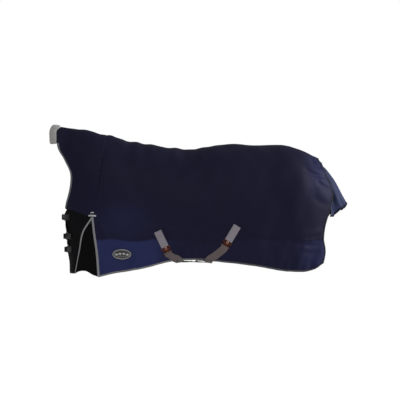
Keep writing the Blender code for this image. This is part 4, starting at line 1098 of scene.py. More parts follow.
@dataclass
class EdgeTape:
    """Tape folded over a cloth edge."""

    leg: float = 0.010
    cloth: float = 0.0024
    clear: float = 0.0006
    thickness: float = 0.0009
    pucker: float = 0.0005

    def profile(self) -> Array:
        """The fold as (inward, out): outside leg, round the edge, inside leg."""
        out, back = self.clear, -(self.cloth + self.clear)
        middle = (out + back) / 2
        return np.array([
            (self.leg, out), (self.leg * 0.5, out), (0.0015, out), (-0.0004, out * 0.6),
            (-0.0012, middle), (-0.0004, back - out * 0.2), (0.0015, back), (self.leg * 0.5, back),
            (self.leg, back),
        ])

    def build(
        self, name: str, edge: Array, inner: Array, normals: Array,
        finish: Cloth, slot: str, tone: float | Array = 0.0,
    ) -> Piece:
        """Makes the tape.

                Args:
                    name: the piece's name.
                    edge: points of the cloth's edge.
                    inner: points a little further into the cloth.
                    normals: outward normals at the edge.
                    finish: the tape's finish.
                        slot: the record's slot; not used.
        tone: share of the finish's lighter colour, one number or one for each point; on the hem tape this
        sets painted light against painted shade.
                Returns:
                    The piece.
        """
        inward = unit(inner - edge)
        travelled = metres_along(edge, 0)
        ripple = self.pucker * np.sin(travelled * 2 * math.pi / 0.021) * np.sin(travelled * 7.0 + 1.0)
        profile = self.profile()
        reach, lift = profile[None, :, :1], profile[None, :, 1:]
        points = edge[:, None] + inward[:, None] * reach + normals[:, None] * lift
        points = points + normals[:, None] * ripple[:, None, None] * (profile[None, :, :1] > 0.004)
        across = np.concatenate([[0.0], np.cumsum(np.linalg.norm(np.diff(profile, axis=0), axis=1))])
        metres = np.stack(np.broadcast_arrays(across[None], travelled[:, None]), axis=-1)
        rows, columns = points.shape[:2]
        a, b, c = points[rows // 2, 0], points[rows // 2, 1], points[rows // 2 + 1, 0]
        flip = np.cross(b - a, c - a) @ normals[rows // 2] < 0
        faces = grid_faces(rows, columns, flip)
        piece = mesh_piece(name, points.reshape(-1, 3), faces, metres.reshape(-1, 2))
        shares = np.broadcast_to(np.reshape(tone, (-1, 1)), (rows, columns)).astype(np.float32)
        piece.data.attributes.new("tone", "FLOAT", "POINT").data.foreach_set("value", shares.ravel())
        solid = piece.modifiers.new("thickness", "SOLIDIFY")
        solid.thickness = self.thickness
        solid.offset = 1.0
        return finished(piece, finish)


def edge_of(patch: Patch, edge: str, first: int = 0) -> Run:
    """Edge points, points two cells further in and normals along a patch's named edge."""
    cut = slice(first, None)
    lines = {
        "left": (np.s_[:, 0], np.s_[:, 2]), "right": (np.s_[:, -1], np.s_[:, -3]),
        "bottom": (np.s_[-1, :], np.s_[-3, :]),
    }
    edge_at, inner_at = lines[edge]
    return patch.points[edge_at][cut], patch.points[inner_at][cut], patch.normals[edge_at][cut]


def joined(*runs: Run) -> Run:
    """Edge runs end to end, without the point that two of them share."""
    parts = [tuple(line if k == 0 else line[1:] for line in run) for k, run in enumerate(runs)]
    edge, inner, normals = (np.concatenate([part[k] for part in parts]) for k in range(3))
    inward = unit(inner - edge)
    for _ in range(3):
        inward[1:-1] = unit(inward[:-2] + 2 * inward[1:-1] + inward[2:])
    return edge, edge + inward * 0.02, normals


@dataclass
class Trimmings:
    """Edge tapes, gusset pipings, reflective tabs and the seams' stitching."""

    patches: dict[str, dict[Side, Patch]]
    tape: EdgeTape = field(default_factory=EdgeTape)
    neck_leg: float = 0.013
    front_width: float = 0.012
    rear_width: float = 0.016

    def tapes(self, side: Side) -> None:
        """Tapes of the hem and rear edge, the neck opening and the chest flap."""
        body, neck, chest = (self.patches[part][side] for part in ("body", "neck", "chest"))
        backwards = tuple(line[::-1] for line in edge_of(body, "bottom"))
        hem = joined(edge_of(body, "right"), backwards)
        opening = edge_of(neck, "left", first=np.searchsorted(-neck.points[:, 0, 2], -0.018))
        front = joined(edge_of(chest, "left"), edge_of(chest, "bottom"))
        x, z = hem[0][:, 0], hem[0][:, 2]
        # Painted shade on the grey hem tape: it blends to navy along the belly and up the rear edge.
        belly, rear = 1 - 0.62 * ease((x - 0.12) / 0.20), 1 - 0.85 * ease((x - 0.85) / 0.25)
        colour_blend = belly * rear * ease((-0.70 - z) / 0.05)
        for part, run, finish, slot, tone in (
            ("hem", hem, HEM_TAPE, "hem_binding", colour_blend),
            ("neck", opening, NECK_TAPE, "neck_binding", 0.0),
            ("chest", front, BLACK_TAPE, "chest_cloth", 0.0),
        ):
            tape = EdgeTape(leg=self.neck_leg) if part == "neck" else self.tape
            piece = tape.build(f"{part}_tape_{side.label}", *run, finish, slot, tone)
            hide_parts(f"{part}_binding_{side.label}")
            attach(report(piece), "rug")

    def piping(self, side: Side, place: str, line: Knots, width: float) -> None:
        """One rounded piping over a gusset seam, from the tab to the hem."""
        fractions = np.linspace(0.0, 1.0, 50)
        spots = along(line, fractions)
        points, normals = surface(spots[:, 0], spots[:, 1], side, np.full(50, 0.0002))
        across, normals = frames_of(points, normals)
        narrow = 1.0 if place == "rear" else 1.0 - 0.35 * ease((fractions - 0.35) / 0.5)[:, None, None]
        narrow = np.broadcast_to(narrow, (50, 1, 1))
        scale = np.concatenate([narrow, np.ones((50, 1, 1))], axis=2)
        section = webbing_section(width, 0.0018, 0.0016) * scale
        name = f"piping_{place}_{side.label}"
        piece = finished(swept(name, points, across, normals, section), GREY_TAPE)
        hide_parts(f"gusset_{place}_piping_{side.label}")
        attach(report(piece), "rug")

    def tab(self, side: Side) -> None:
        """Reflective tab over the gusset's point: a bar with a small loop above it."""
        bars = [
            ((-0.3985, -0.4625), (-0.3500, -0.4645), 0.011),
            ((-0.3860, -0.4440), (-0.3640, -0.4430), 0.008),
        ]
        meshes = []
        for k, (start, end, width) in enumerate(bars):
            t = np.linspace(0.0, 1.0, 12)[:, None]
            spots = np.array(start) + (np.array(end) - np.array(start)) * t
            spots[:, 1] += 0.002 * np.sin(t[:, 0] * math.pi)
            points, normals = surface(spots[:, 0], spots[:, 1], side, np.full(12, 0.0034 - 0.0006 * k))
            across, normals = frames_of(points, normals)
            section = webbing_section(width, 0.0016, 0.0014)
            meshes.append(swept(f"tab_part_{k}", points, across, normals, section))
        points = np.concatenate([np.array([v.co for v in m.data.vertices]) for m in meshes])
        offset = len(meshes[0].data.vertices)
        faces = [tuple(p.vertices) for p in meshes[0].data.polygons]
        faces += [tuple(v + offset for v in p.vertices) for p in meshes[1].data.polygons]
        for mesh in meshes:
            bpy.data.objects.remove(mesh)
        piece = mesh_piece(f"reflector_{side.label}", points, faces, points[:, [0, 2]])
        finished(piece, REFLECTOR)
        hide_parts(f"gusset_tab_{side.label}")
        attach(report(piece), "rug")

    def stitching(self, side: Side) -> None:
        """Topstitching beside the seams and on the tapes."""
        navy, grey = Stitches(), Stitches()
        for line, shift in ((SHOULDER_SEAM, 0.006), (SHOULDER_SEAM, 0.011), (CHEST_SEAM, 0.005)):
            spots = along(line, np.linspace(0.02, 0.985, 90))
            way = unit(np.gradient(spots, axis=0))
            spots = spots + np.stack([-way[:, 1], way[:, 0]], axis=1) * shift
            navy.run(*surface(spots[:, 0], spots[:, 1], side, np.full(90, 0.0002)))
        body, neck = self.patches["body"][side], self.patches["neck"][side]
        for run in (edge_of(body, "bottom"), edge_of(body, "right"), edge_of(neck, "left", first=26)):
            edge, inner, normals = run
            grey.run(edge + unit(inner - edge) * (self.tape.leg * 0.72), normals, 0.0019)
        dart = np.stack([np.linspace(1.055, 1.140, 40), np.linspace(-0.176, -0.211, 40)], axis=1)
        navy.run(*surface(dart[:, 0], dart[:, 1], side, np.full(40, 0.0002)))
        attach(report(navy.piece(f"seam_stitches_{side.label}", THREAD, "navy_shell")), "rug")
        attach(report(grey.piece(f"tape_stitches_{side.label}", GREY_THREAD, "hem_binding")), "rug")

    def build(self) -> None:
        """Makes the trimmings on both sides."""
        for side in Side:
            self.tapes(side)
            self.piping(side, "front", GUSSET_FRONT, self.front_width)
            self.piping(side, "rear", GUSSET_REAR, self.rear_width)
            self.tab(side)
            self.stitching(side)


@dataclass
class CrestPad:
    """Fleece-covered pad round the top of the neck opening."""

    width: float = 0.046
    thickness: float = 0.013
    rise: float = 0.002
    low_end: float = 0.012

    def outline(self) -> tuple[Array, Array, Array]:
        """Inner edge of the pad over the crest, its forward directions and normals."""
        down = np.linspace(0.0, 1.0, 200)
        edge = along(NECK_EDGE, down**2)
        edge = edge[edge[:, 1] >= self.low_end]
        x, z = edge[:, 0], np.minimum(edge[:, 1], smooth(TOPLINE, edge[:, 0]))
        y = -FORM.half_width(x, z)
        y[0] = 0.0
        near = np.stack([x, y, z], axis=1)
        normals = FORM.normals(x, z)
        normals[0] = unit(normals[0] * (1.0, 0.0, 1.0))
        flip = np.array([1.0, -1.0, 1.0])
        path = np.concatenate([near[::-1], near[1:] * flip])
        normals = np.concatenate([normals[::-1], normals[1:] * flip])
        travelled = metres_along(path, 0)
        even = np.linspace(0.0, travelled[-1], 90)
        path = np.stack([np.interp(even, travelled, path[:, k]) for k in range(3)], axis=1)
        normals = unit(np.stack([np.interp(even, travelled, normals[:, k]) for k in range(3)], axis=1))
        travel = unit(np.gradient(path, axis=0))
        forward = unit(np.cross(travel, normals))
        forward = forward * np.where(forward[:, :1] > 0, -1.0, 1.0)
        return path, forward, normals

    def build(self) -> None:
        """Makes the pad, plump in the middle and tucked in at its ends."""
        path, forward, normals = self.outline()
        turns = np.linspace(0.0, math.tau, 29)[:-1]
        wide = np.sign(np.cos(turns)) * np.abs(np.cos(turns)) ** 0.7
        deep = np.sign(np.sin(turns)) * np.abs(np.sin(turns)) ** 0.8
        shape = np.stack([wide, deep], axis=1)
        ends = np.linspace(0.0, 1.0, len(path))
        close = round_off(np.minimum(ends, 1 - ends) / 0.07)
        lumps = 1 + 0.05 * np.sin(ends * 60) + 0.04 * np.sin(ends * 37 + 1)
        widths = self.width / 2 * (0.80 + 0.20 * close)
        depths = self.thickness / 2 * (0.25 + 0.75 * close) * lumps
        sizes = np.stack([widths, depths], axis=1)
        section = shape[None] * sizes[:, None]
        centre = path + forward * (self.width / 2 + 0.002) + normals * self.rise
        pad = finished(swept("crest_pad", centre, forward, normals, section), FLEECE)
        detail = pad.modifiers.new("pile", "SUBSURF")
        detail.levels = detail.render_levels = 1
        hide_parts("crest_band")
        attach(report(pad), "rug")


@dataclass
class TailFlap:
    """The flap over the tail: bound cloth that hangs in folds from the rear edge."""

    rows: int = 46
    half_columns: int = 30
    side_bottom: float = -0.470
    stand_off: float = 0.009
    free_by: float = 0.10
    tuck: float = 0.92
    tuck_in: float = 0.012
    under: float = 0.0075
    sewn_share: float = 0.143
    cloth: float = 0.0012
    lining: float = 0.0008
    facing_depth: float = 0.0017
    tape: EdgeTape = field(default_factory=lambda: EdgeTape(leg=0.009, cloth=0.0026, clear=0.0007))
    frames: int = 24
    fold_depth: float = 0.015
    cap: float = 0.020

    def grid(self) -> Array:
        """The flap's outer face before its folds, from one side edge round the tail to the other."""
        rows, across = np.linspace(0.0, 1.0, self.rows), np.linspace(0.0, 1.0, self.half_columns)
        edge = along(REAR_EDGE, across**1.3 * self.sewn_share)
        x = edge[:, 0] - self.tuck_in * (1 - across**2)
        z = edge[:, 1] + (smooth(TOPLINE, x) - smooth(TOPLINE, edge[:, 0])) * (1 - across)
        y = FORM.half_width(x, np.minimum(z, smooth(TOPLINE, x) - 1e-5))
        y[0] = 0.0
        inwards = FORM.normals(x, z) * np.array([1.0, -1.0, 1.0])
        inwards[0] = (0.0, 0.0, 1.0)
        top = np.stack([x, y, z], axis=1) - inwards * self.under
        middle = along([tuple(top[0, [0, 2]]), *FLAP_CENTRE], rows)
        centre = np.stack([middle[:, 0], 0.0 * rows, middle[:, 1]], axis=1)
        heights = top[-1, 2] + rows * (self.side_bottom - top[-1, 2])
        rear = along(REAR_EDGE, np.linspace(0, 1, 200))
        rear_x = np.interp(-heights, -rear[:, 1], rear[:, 0])
        away = ease(rows / self.free_by)
        rear_y = FORM.half_width(rear_x, heights) * (1 - (1 - self.tuck) * rows)
        side = np.stack([rear_x + self.stand_off * away, rear_y, heights], axis=1)
        side += (top[-1] - side[0]) * (1 - away)[:, None]
        spread = np.stack([across**2, across, across**1.5], axis=1)
        bottom = centre[-1] + (side[-1] - centre[-1]) * spread
        half = fill(top, bottom, centre, side, across, rows)
        other = half[:, :0:-1] * np.array([1.0, -1.0, 1.0])
        return np.concatenate([other, half], axis=1)

    def facing(self, grid: Array) -> Array:
        """Outward normals of the grid."""
        normals = unit(np.cross(np.gradient(grid, axis=1), np.gradient(grid, axis=0)))
        return normals * np.sign(normals[len(grid) // 2, grid.shape[1] // 2, 0])

    def folded(self, grid: Array) -> Array:
        """The grid with folds that deepen downwards, and a wavy lower edge."""
        normals = self.facing(grid)
        v = np.linspace(0.0, 1.0, grid.shape[0])[:, None]
        u = np.linspace(-1.0, 1.0, grid.shape[1])[None]
        waves = np.sin(u * 11.0 + 0.7 * v + 0.9) + 0.55 * np.sin(u * 19.0 - 1.1 * v) + 0.20 * np.sin(u * 37.0)
        depth = self.fold_depth * ease(v * 1.15) * waves * (0.75 + 0.25 * np.cos(u * 3.0))
        low = 0.012 * ease((v - 0.75) / 0.25) * np.sin(u * 13.0 + 2.2)
        return grid + normals * depth[..., None] + np.array([0.0, 0.0, 1.0]) * low[..., None]

    def hung(self, grid: Array) -> Array:
        """Lets the cloth hang from its sewn edge; each point moves no further than the cap."""
        rows, columns = grid.shape[:2]
        piece = mesh_piece("flap_drape", grid.reshape(-1, 3), grid_faces(rows, columns, False))
        pins = piece.vertex_groups.new(name="sewn")
        firm = np.clip(1.6 - np.linspace(0, 1, rows) * 9.0, 0.0, 1.0)
        for index, weight in enumerate(np.repeat(firm, columns)):
            if weight > 0:
                pins.add([index], float(weight), "REPLACE")
        cloth = piece.modifiers.new("drape", "CLOTH")
        cloth.settings.quality = 6
        cloth.settings.mass = 0.25
        cloth.settings.bending_stiffness = 1.5
        cloth.settings.tension_stiffness = 25
        cloth.settings.compression_stiffness = 25
        cloth.settings.shear_stiffness = 8
        cloth.settings.vertex_group_mass = "sewn"
        cloth.settings.shrink_min = -0.03
        cloth.point_cache.frame_start, cloth.point_cache.frame_end = 1, self.frames
        scene = bpy.context.scene
        for step in range(1, self.frames + 1):
            scene.frame_set(step)
        graph = bpy.context.evaluated_depsgraph_get()
        moved = np.array([v.co for v in piece.evaluated_get(graph).data.vertices]).reshape(grid.shape)
        scene.frame_set(1)
        bpy.data.objects.remove(piece)
        shift = moved - grid
        reach = np.linalg.norm(shift, axis=-1, keepdims=True)
        return grid + shift * np.minimum(1.0, self.cap / np.maximum(reach, 1e-9))

    def build(self) -> None:
        """Makes the flap's cloth, lining and edge tape."""
        grid = self.folded(self.grid())
        grid = self.hung(grid)
        normals = self.facing(grid)
        metres = np.stack([metres_along(grid, 1), metres_along(grid, 0)], axis=-1)
        # Painted light: the flap grows lighter towards its lower edge.
        lit = np.broadcast_to(np.linspace(0.2, 0.9, self.rows)[:, None], grid.shape[:2])
        patch = Patch(grid, normals, metres, lit)
        cloth = finished(sheet_piece("tail_flap_cloth", patch, self.cloth), PAINTED_LIGHT_FLAP_NAVY)
        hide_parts("tail_flap")
        facing = sheet_piece("tail_flap_facing", patch, self.lining, patch.moved(-self.facing_depth))
        inner = finished(facing, LINING)
        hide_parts("tail_flap_lining")
        start = self.rows // 6
        left = tuple(line[start:] for line in edge_of(patch, "left"))
        right = tuple(line[start:][::-1] for line in edge_of(patch, "right"))
        run = joined(left, edge_of(patch, "bottom"), right)
        tape = self.tape.build("tail_flap_tape", *run, NAVY, "hem_binding")
        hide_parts("tail_flap_binding")
        for piece in (cloth, inner):
            report(piece)
        for piece in (cloth, inner, tape):
            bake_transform(piece)
        report(tape)


@dataclass(frozen=True)
class Surcingle:
    """One belly strap: its sewn end, its fitting and where it passes the hems."""

    name: str
    top: tuple[float, float]
    fitting: tuple[float, float]
    hem_x: float
    far_x: float


@dataclass
class Surcingles:
    """The two crossed belly straps with their webbing and fittings."""

    width: float = 0.050
    thickness: float = 0.0015
    lift: float = 0.0007
    anchor: float = 0.078
    short: float = 0.0347
    plate: float = 0.020
    gap: float = 0.0007
    hook: float = 0.027
    far_length: float = 0.180
    turn: float = 0.020

    def down(self, strap: Surcingle, distances: Array) -> Array:
        """(x, z) at distances down the near side's straight line."""
        top, fitting = np.array(strap.top), np.array(strap.fitting)
        return top + unit(fitting - top) * np.asarray(distances)[:, None]

    def upper(self, strap: Surcingle) -> None:
        """Webbing from the sewn end to the plate, which bends between rug and short strap."""
        end = self.anchor + self.short + 0.0005
        distances = np.linspace(0.0, end, 40)
        spots = self.down(strap, distances)
        hump = 0.0030 * ease((distances - (end - 0.016)) / 0.006)
        points, normals = surface(spots[:, 0], spots[:, 1], Side.NEAR, self.lift + hump)
        across, normals = frames_of(points, normals)
        section = webbing_section(self.width, self.thickness)
        piece = swept(f"{strap.name}_upper_webbing", points, across, normals, section)
        finished(piece, WEBBING)
        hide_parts(f"{strap.name}_anchor_near", f"{strap.name}_short_strap")
        pivot = self.down(strap, [self.anchor - 0.010, self.anchor + 0.012])
        ends, _ = surface(pivot[:, 0], pivot[:, 1], Side.NEAR, np.zeros(2))
        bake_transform(report(piece))
        box = Stitches(length=0.0030, pitch=0.0042, width=0.0008)
        half, long = self.width / 2 - 0.005, 0.040
        corners = [(-half, 0.005), (half, 0.005), (half, long), (-half, long), (-half, 0.005), (half, long)]
        corners += [(half, 0.005), (-half, long)]
        for a, b in zip(corners, corners[1:]):
            t = np.linspace(0.0, 1.0, 14)[:, None]
            place = np.array(a) + (np.array(b) - np.array(a)) * t
            centre, wide, out = (read_at(place[:, 1], distances, line) for line in (points, across, normals))
            box.run(centre + wide * place[:, :1] + out * (self.thickness + 0.0001), out, 0.0004)
        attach(report(box.piece(f"{strap.name}_anchor_stitches", GREY_THREAD, "webbing")), "rug")

    def belly(self, strap: Surcingle) -> None:
        """Webbing from the hook under the belly and up the far side to its sewn end."""
        low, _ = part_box(f"{strap.name}_belly_strap")
        hook_end = self.anchor + self.gap + 0.034 + self.gap + self.plate + self.gap + self.hook
        start = self.down(strap, [hook_end - 0.010, hook_end + 0.012])
        hem_near = np.array([strap.hem_x, float(smooth(HEM, strap.hem_x)) + 0.007])
        t = np.linspace(0.0, 1.0, 16)[1:, None]
        bow = np.array([0.0, -0.004]) * np.sin(t * math.pi)
        line = np.concatenate([start, start[1] + (hem_near - start[1]) * t + bow])
        lift = np.full(len(line), 0.0034)
        points, normals = surface(line[:, 0], line[:, 1], Side.NEAR, lift)
        far_z = float(smooth(HEM, strap.far_x))
        far_heights = np.linspace(far_z - 0.002, far_z + self.far_length - 0.004, 24)
        far_line = np.stack([np.full(24, strap.far_x), far_heights], axis=1)
        far_points, far_normals = surface(far_line[:, 0], far_line[:, 1], Side.FAR, np.full(24, 0.0030))
        bottom = low.z + 0.0004
        near_edge, far_edge = points[-1], far_points[0]
        way = unit((far_edge - near_edge) * np.array([1.0, 1.0, 0.0]))
        under = []
        span = float(np.linalg.norm((far_edge - near_edge)[:2]))
        for share in np.linspace(0.0, 1.0, 60)[1:-1]:
            reach = share * span
            fall_near = 1 - round_off(reach / self.turn)
            fall_far = 1 - round_off((span - reach) / self.turn)
            height = bottom + fall_near * (near_edge[2] - bottom) + fall_far * (far_edge[2] - bottom)
            under.append(near_edge + way * reach + np.array([0.0, 0.0, height - near_edge[2]]))
        under = np.array(under)
        lean = np.linspace(-1.0, 1.0, len(under))
        sideways = np.sign(lean) * np.abs(lean) ** 14
        tilt = unit(np.stack([np.zeros_like(lean), sideways, -np.ones_like(lean)], axis=1))
        path = np.concatenate([points, under, far_points])
        out = np.concatenate([normals, tilt, far_normals])
        across, out = frames_of(path, out)
        section = webbing_section(self.width, self.thickness) - np.array([0.0, self.thickness])
        section[:, 1] += self.thickness * 0.2
        name = f"{strap.name}_belly_webbing"
        piece = finished(swept(name, path, across, out, section), BELLY_WEBBING)
        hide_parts(f"{strap.name}_belly_strap", f"{strap.name}_anchor_far")
        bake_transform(report(piece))

    def fittings(self, strap: Surcingle) -> None:
        """Rounds and plates the fittings that come from the frame."""
        for part in ("slot_plate", "hook", "adjuster"):
            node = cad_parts[f"{strap.name}_{part}"]
            node.data.materials.clear()
            node.data.materials.append(COPPER.material())
            edges = node.modifiers.new("rounded edges", "BEVEL")
            edges.width = 0.0007
            edges.segments = 2
            edges.limit_method = "ANGLE"
        plate = np.array([v.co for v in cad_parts[f"{strap.name}_slot_plate"].data.vertices])
        centre = plate.mean(axis=0)
        normal = FORM.normals(*(np.array([k]) for k in strap.fitting))[0]
        across = unit(np.array([1.0, 0.0, 0.0]) - normal * normal[0])
        up = np.cross(across, normal)
        turns = np.linspace(0.0, math.tau, 33)[:-1]
        out = across * np.cos(turns)[:, None] + up * np.sin(turns)[:, None]
        ring = centre + normal * 0.0032 + out * 0.0065
        spins = np.linspace(0.0, math.tau, 11)[:-1]
        wire = np.stack([np.cos(spins), np.sin(spins)], axis=1) * 0.0021
        piece = swept(f"{strap.name}_ring", ring, out, np.broadcast_to(normal, out.shape), wire, closed=True)
        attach(report(finished(piece, BRIGHT_COPPER)), f"{strap.name}_slot_plate")

    def build(self) -> None:
        """Makes both straps."""
        straps = (
            Surcingle("front", (0.052, -0.563), (0.110, -0.6845), 0.188, 0.386),
            Surcingle("rear", (0.570, -0.5285), (0.496, -0.652), 0.386, 0.188),
        )
        for strap in straps:
            self.upper(strap)
            self.belly(strap)
            self.fittings(strap)


@dataclass
class ChestClosures:
    """Three buckled straps across the chest, with their slack loops and hanging tails."""

    heights: dict[str, float] = field(
        default_factory=lambda: {"top": -0.472, "middle": -0.598, "bottom": -0.6845}
    )
    width: float = 0.038
    thickness: float = 0.0018
    ends: tuple[float, float] = (0.070, -0.095)
    loop_y: float = 0.016
    loop_reach: dict[str, float] = field(
        default_factory=lambda: {"top": 0.018, "middle": 0.026, "bottom": 0.026}
    )
    tails: dict[str, float] = field(default_factory=lambda: {"top": 0.078, "middle": 0.034})

    def spot(self, y: float, z: float) -> float:
        """x of the chest's outer face where it is |y| from the centre plane."""
        low, high = float(smooth(FORM.chest_front, z)), FORM.chest_back
        for _ in range(40):
            middle = (low + high) / 2
            if float(FORM.half_width(np.array(middle), np.array(z))) < abs(y):
                low = middle
            else:
                high = middle
        return (low + high) / 2

    def line(self, y_values: Array, heights: Array, lifts: Array) -> tuple[Array, Array]:
        """Points and normals round the chest, moved out by the lifts."""
        x = np.array([self.spot(float(y), float(z)) for y, z in zip(y_values, heights)])
        points = np.stack([x, y_values, heights], axis=1)
        normals = FORM.normals(x, np.array(heights))
        normals[:, 1] *= -np.sign(y_values) * ease(np.abs(y_values) / 0.020)
        normals = unit(normals)
        return points + normals * np.asarray(lifts)[:, None], normals

    def strap(self, name: str, z: float) -> None:
        """One strap across the chest, with a slack loop beside its buckle."""
        count = 70
        y = np.linspace(*self.ends, count)
        loop = self.loop_reach[name] * bell((y - self.loop_y) / 0.0165) ** 0.8
        base = 0.0030 + 0.0016 * ease((0.02 - y) / 0.05)
        points, normals = self.line(y, np.full(count, z), base)
        points[:, 0] -= loop
        travel = unit(np.gradient(points, axis=0))
        up = np.broadcast_to([0.0, 0.0, 1.0], travel.shape)
        out = unit(np.cross(travel, up))
        out = out * np.where((out * normals).sum(axis=1, keepdims=True) < 0, -1.0, 1.0)
        out = out if out[0, 0] < 0 or out[0, 1] > 0 else -out
        roll = 0.86 + 0.14 * (1 - bell((y - self.loop_y) / 0.014))
        section = webbing_section(self.width, self.thickness)[None] * np.ones((count, 1, 1))
        section = section * np.stack([roll, np.ones(count)], axis=1)[:, None]
        piece = finished(swept(f"chest_webbing_{name}", points, up, out, section), STRAP_BLACK)
        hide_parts(f"chest_strap_{name}", f"chest_chape_{name}")
        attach(report(piece), "rug")

    def tail(self, name: str, length: float) -> None:
        """The strap's free end, hanging and curling a little."""
        top = self.heights[name] - 0.0315
        count = 26
        heights = np.linspace(top, top - length, count)
        share = np.linspace(0.0, 1.0, count)
        y = -0.021 - 0.034 * share**0.7
        points, normals = self.line(y, heights, 0.0030 + 0.008 * np.sin(share * 3.0))
        across, out = frames_of(points, normals)
        twist = 0.5 * share
        turned = across * np.cos(twist)[:, None] + out * np.sin(twist)[:, None]
        out = unit(np.cross(unit(np.gradient(points, axis=0)), turned))
        section = webbing_section(0.030, 0.0016)
        piece = finished(swept(f"strap_tail_{name}", points, turned, out, section), BEIGE_WEBBING)
        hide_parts(f"chest_strap_tail_{name}")
        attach(report(piece), f"chest_strap_tail_{name}")

    def build(self) -> None:
        """Makes the straps and tails, and dresses the buckles."""
        for name, z in self.heights.items():
            self.strap(name, z)
            for part in ("buckle", "tongue"):
                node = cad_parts[f"chest_{part}_{name}"]
                node.data.materials.clear()
                node.data.materials.append(DARK_STEEL.material())
                node.data.polygons.foreach_set("use_smooth", [True] * len(node.data.polygons))
        for name, length in self.tails.items():
            self.tail(name, length)


@dataclass
class Badge:
    """Oval badge low on the shoulder: black ground, silver rims and a plain row of studs."""

    lift: float = 0.0011

    def place(self) -> tuple[Vector, Matrix]:
        """Centre of the badge's outer face and its axes as columns."""
        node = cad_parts["badge"]
        points = np.array([v.co for v in node.data.vertices])
        centre = points.mean(axis=0)
        x = np.array([-0.180]), np.array([-0.713])
        normal = FORM.normals(*x)[0]
        across = unit(np.array([1.0, 0.0, 0.0]) - normal * normal[0])
        up = np.cross(across, normal)
        up = up if up[2] > 0 else -up
        return Vector(centre + normal * self.lift), Matrix((across, up, normal)).transposed()

    def ring(self, width: float, height: float, wire: float) -> tuple[Array, list]:
        """Closed oval wire as points and faces in the badge's own plane."""
        around, section = 72, 10
        turns = np.linspace(0.0, math.tau, around, endpoint=False)
        spins = np.linspace(0.0, math.tau, section, endpoint=False)
        centre = np.stack([np.cos(turns) * width / 2, np.sin(turns) * height / 2, 0 * turns], axis=1)
        out = unit(np.stack([np.cos(turns) / width, np.sin(turns) / height, 0 * turns], axis=1))
        flat, raised = np.cos(spins)[None, :, None], np.sin(spins)[None, :, None]
        offsets = out[:, None] * flat + np.array([0, 0, 1.0]) * raised
        points = (centre[:, None] + offsets * wire).reshape(-1, 3)
        faces = []
        for i in range(around):
            for j in range(section):
                a, b = i * section + j, i * section + (j + 1) % section
                c, d = ((i + 1) % around) * section + (j + 1) % section, ((i + 1) % around) * section + j
                faces.append((a, d, c, b))
        return points, faces

    def stud(self, x: float, y: float, radius: float) -> tuple[Array, list]:
        """Low four-sided stud."""
        turns = np.arange(4) * math.pi / 2
        rim = np.stack([x + np.cos(turns) * radius * 1.6, y + np.sin(turns) * radius, 0 * turns], axis=1)
        points = np.concatenate([rim, [[x, y, radius * 0.28], [x, y, -0.0004]]])
        faces = [(k, (k + 1) % 4, 4) for k in range(4)] + [((k + 1) % 4, k, 5) for k in range(4)]
        return points, faces

    def build(self) -> None:
        """Makes the silver trim and dresses the badge's ground."""
        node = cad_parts["badge"]
        node.data.materials.clear()
        node.data.materials.append(BADGE_BLACK.material())
        shapes = [self.ring(0.119, 0.0610, 0.0015), self.ring(0.104, 0.0480, 0.0006)]
        shapes += [self.stud(x, 0.0045 * math.cos(x * 55), 0.0098) for x in np.linspace(-0.036, 0.036, 4)]
        shapes += [self.stud(x, -0.0125, 0.0030) for x in np.linspace(-0.024, 0.024, 5)]
        points, faces = [], []
        for shape_points, shape_faces in shapes:
            offset = sum(len(p) for p in points)
            points.append(shape_points)
            faces += [tuple(k + offset for k in face) for face in shape_faces]
        centre, axes = self.place()
        placed = np.concatenate(points) @ np.array(axes).T + np.array(centre)
        trim = finished(mesh_piece("badge_trim", placed, faces, placed[:, [0, 2]]), BADGE_SILVER)
        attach(report(trim), "rug")


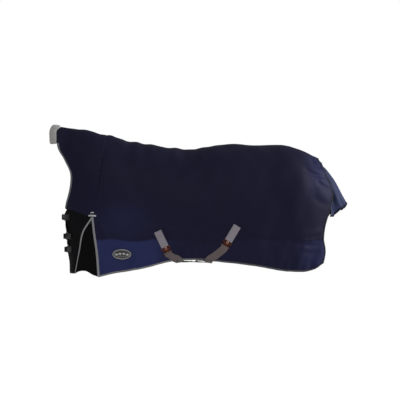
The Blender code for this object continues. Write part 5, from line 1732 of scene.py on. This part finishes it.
@dataclass
class Studio:
    """White room, soft light and the camera square to the near side."""

    aim: tuple[float, float, float] = (0.3275, 0.0, -0.3600)
    view_width: float = 2.62
    near_plane: float = -0.12
    lens: float = 300.0
    ambient: float = 0.36
    floor_height: float = -1.75

    def lamp(self, name: str, place: tuple[float, float, float], size: float, power: float) -> None:
        """Square area lamp that shines at the rug's middle."""
        data = bpy.data.lights.new(name, "AREA")
        data.size = size
        data.energy = power
        lamp = bpy.data.objects.new(name, data)
        lamp.location = place
        lamp.rotation_euler = (Vector(self.aim) - Vector(place)).to_track_quat("-Z", "Y").to_euler()
        bpy.context.scene.collection.objects.link(lamp)

    def build(self) -> None:
        """Makes the world, the floor, the lamps and the camera."""
        scene = bpy.context.scene
        scene.view_settings.view_transform = "Standard"
        world = bpy.data.worlds.new("white room")
        world.use_nodes = True
        backdrop = world.node_tree.nodes["Background"]
        backdrop.inputs["Color"].default_value = (1.0, 1.0, 1.0, 1.0)
        seen = world.node_tree.nodes.new("ShaderNodeLightPath").outputs["Is Camera Ray"]
        dimmed = maths(world.node_tree, "MULTIPLY_ADD", seen, 1.0 - self.ambient, self.ambient)
        world.node_tree.links.new(dimmed, backdrop.inputs["Strength"])
        scene.world = world
        span = 30.0
        corners = [(-span, -span, 0), (span, -span, 0), (span, span, 0), (-span, span, 0)]
        floor = mesh_piece("floor", np.array(corners, float) + (0, 0, self.floor_height), [(0, 1, 2, 3)])
        pale = bpy.data.materials.new("pale floor")
        pale.use_nodes = True
        matt = pale.node_tree.nodes["Principled BSDF"]
        matt.inputs["Base Color"].default_value = (0.90, 0.90, 0.90, 1.0)
        matt.inputs["Roughness"].default_value = 0.9
        matt.inputs["Emission Color"].default_value = (1.0, 1.0, 1.0, 1.0)
        seen = pale.node_tree.nodes.new("ShaderNodeLightPath").outputs["Is Camera Ray"]
        glow = maths(pale.node_tree, "MULTIPLY", seen, 0.85)
        pale.node_tree.links.new(glow, matt.inputs["Emission Strength"])
        floor.data.materials.append(pale)
        self.lamp("front soft light", (-0.8, -4.2, 2.2), 1.6, 55.0)
        self.lamp("rear side light", (4.6, -0.15, 1.3), 1.8, 190.0)
        camera = bpy.data.objects.new("camera", bpy.data.cameras.new("camera"))
        camera.data.lens = self.lens
        camera.data.sensor_width = 36.0
        distance = self.view_width * self.lens / 36.0
        camera.location = (self.aim[0], self.near_plane - distance, self.aim[2])
        camera.rotation_euler = (math.pi / 2, 0.0, 0.0)
        camera.data.clip_end = 200.0
        scene.collection.objects.link(camera)
        scene.camera = camera


def main() -> None:
    """Builds the rug's looks and the room."""
    logging.basicConfig(level=logging.INFO, format="%(message)s")
    Studio().build()
    CrestPad().build()
    patches = RugShell().build()
    patches.update(ChestPanels().build())
    Trimmings(patches).build()
    TailFlap().build()
    Surcingles().build()
    ChestClosures().build()
    Badge().build()


if __name__ == "__main__":
    main()
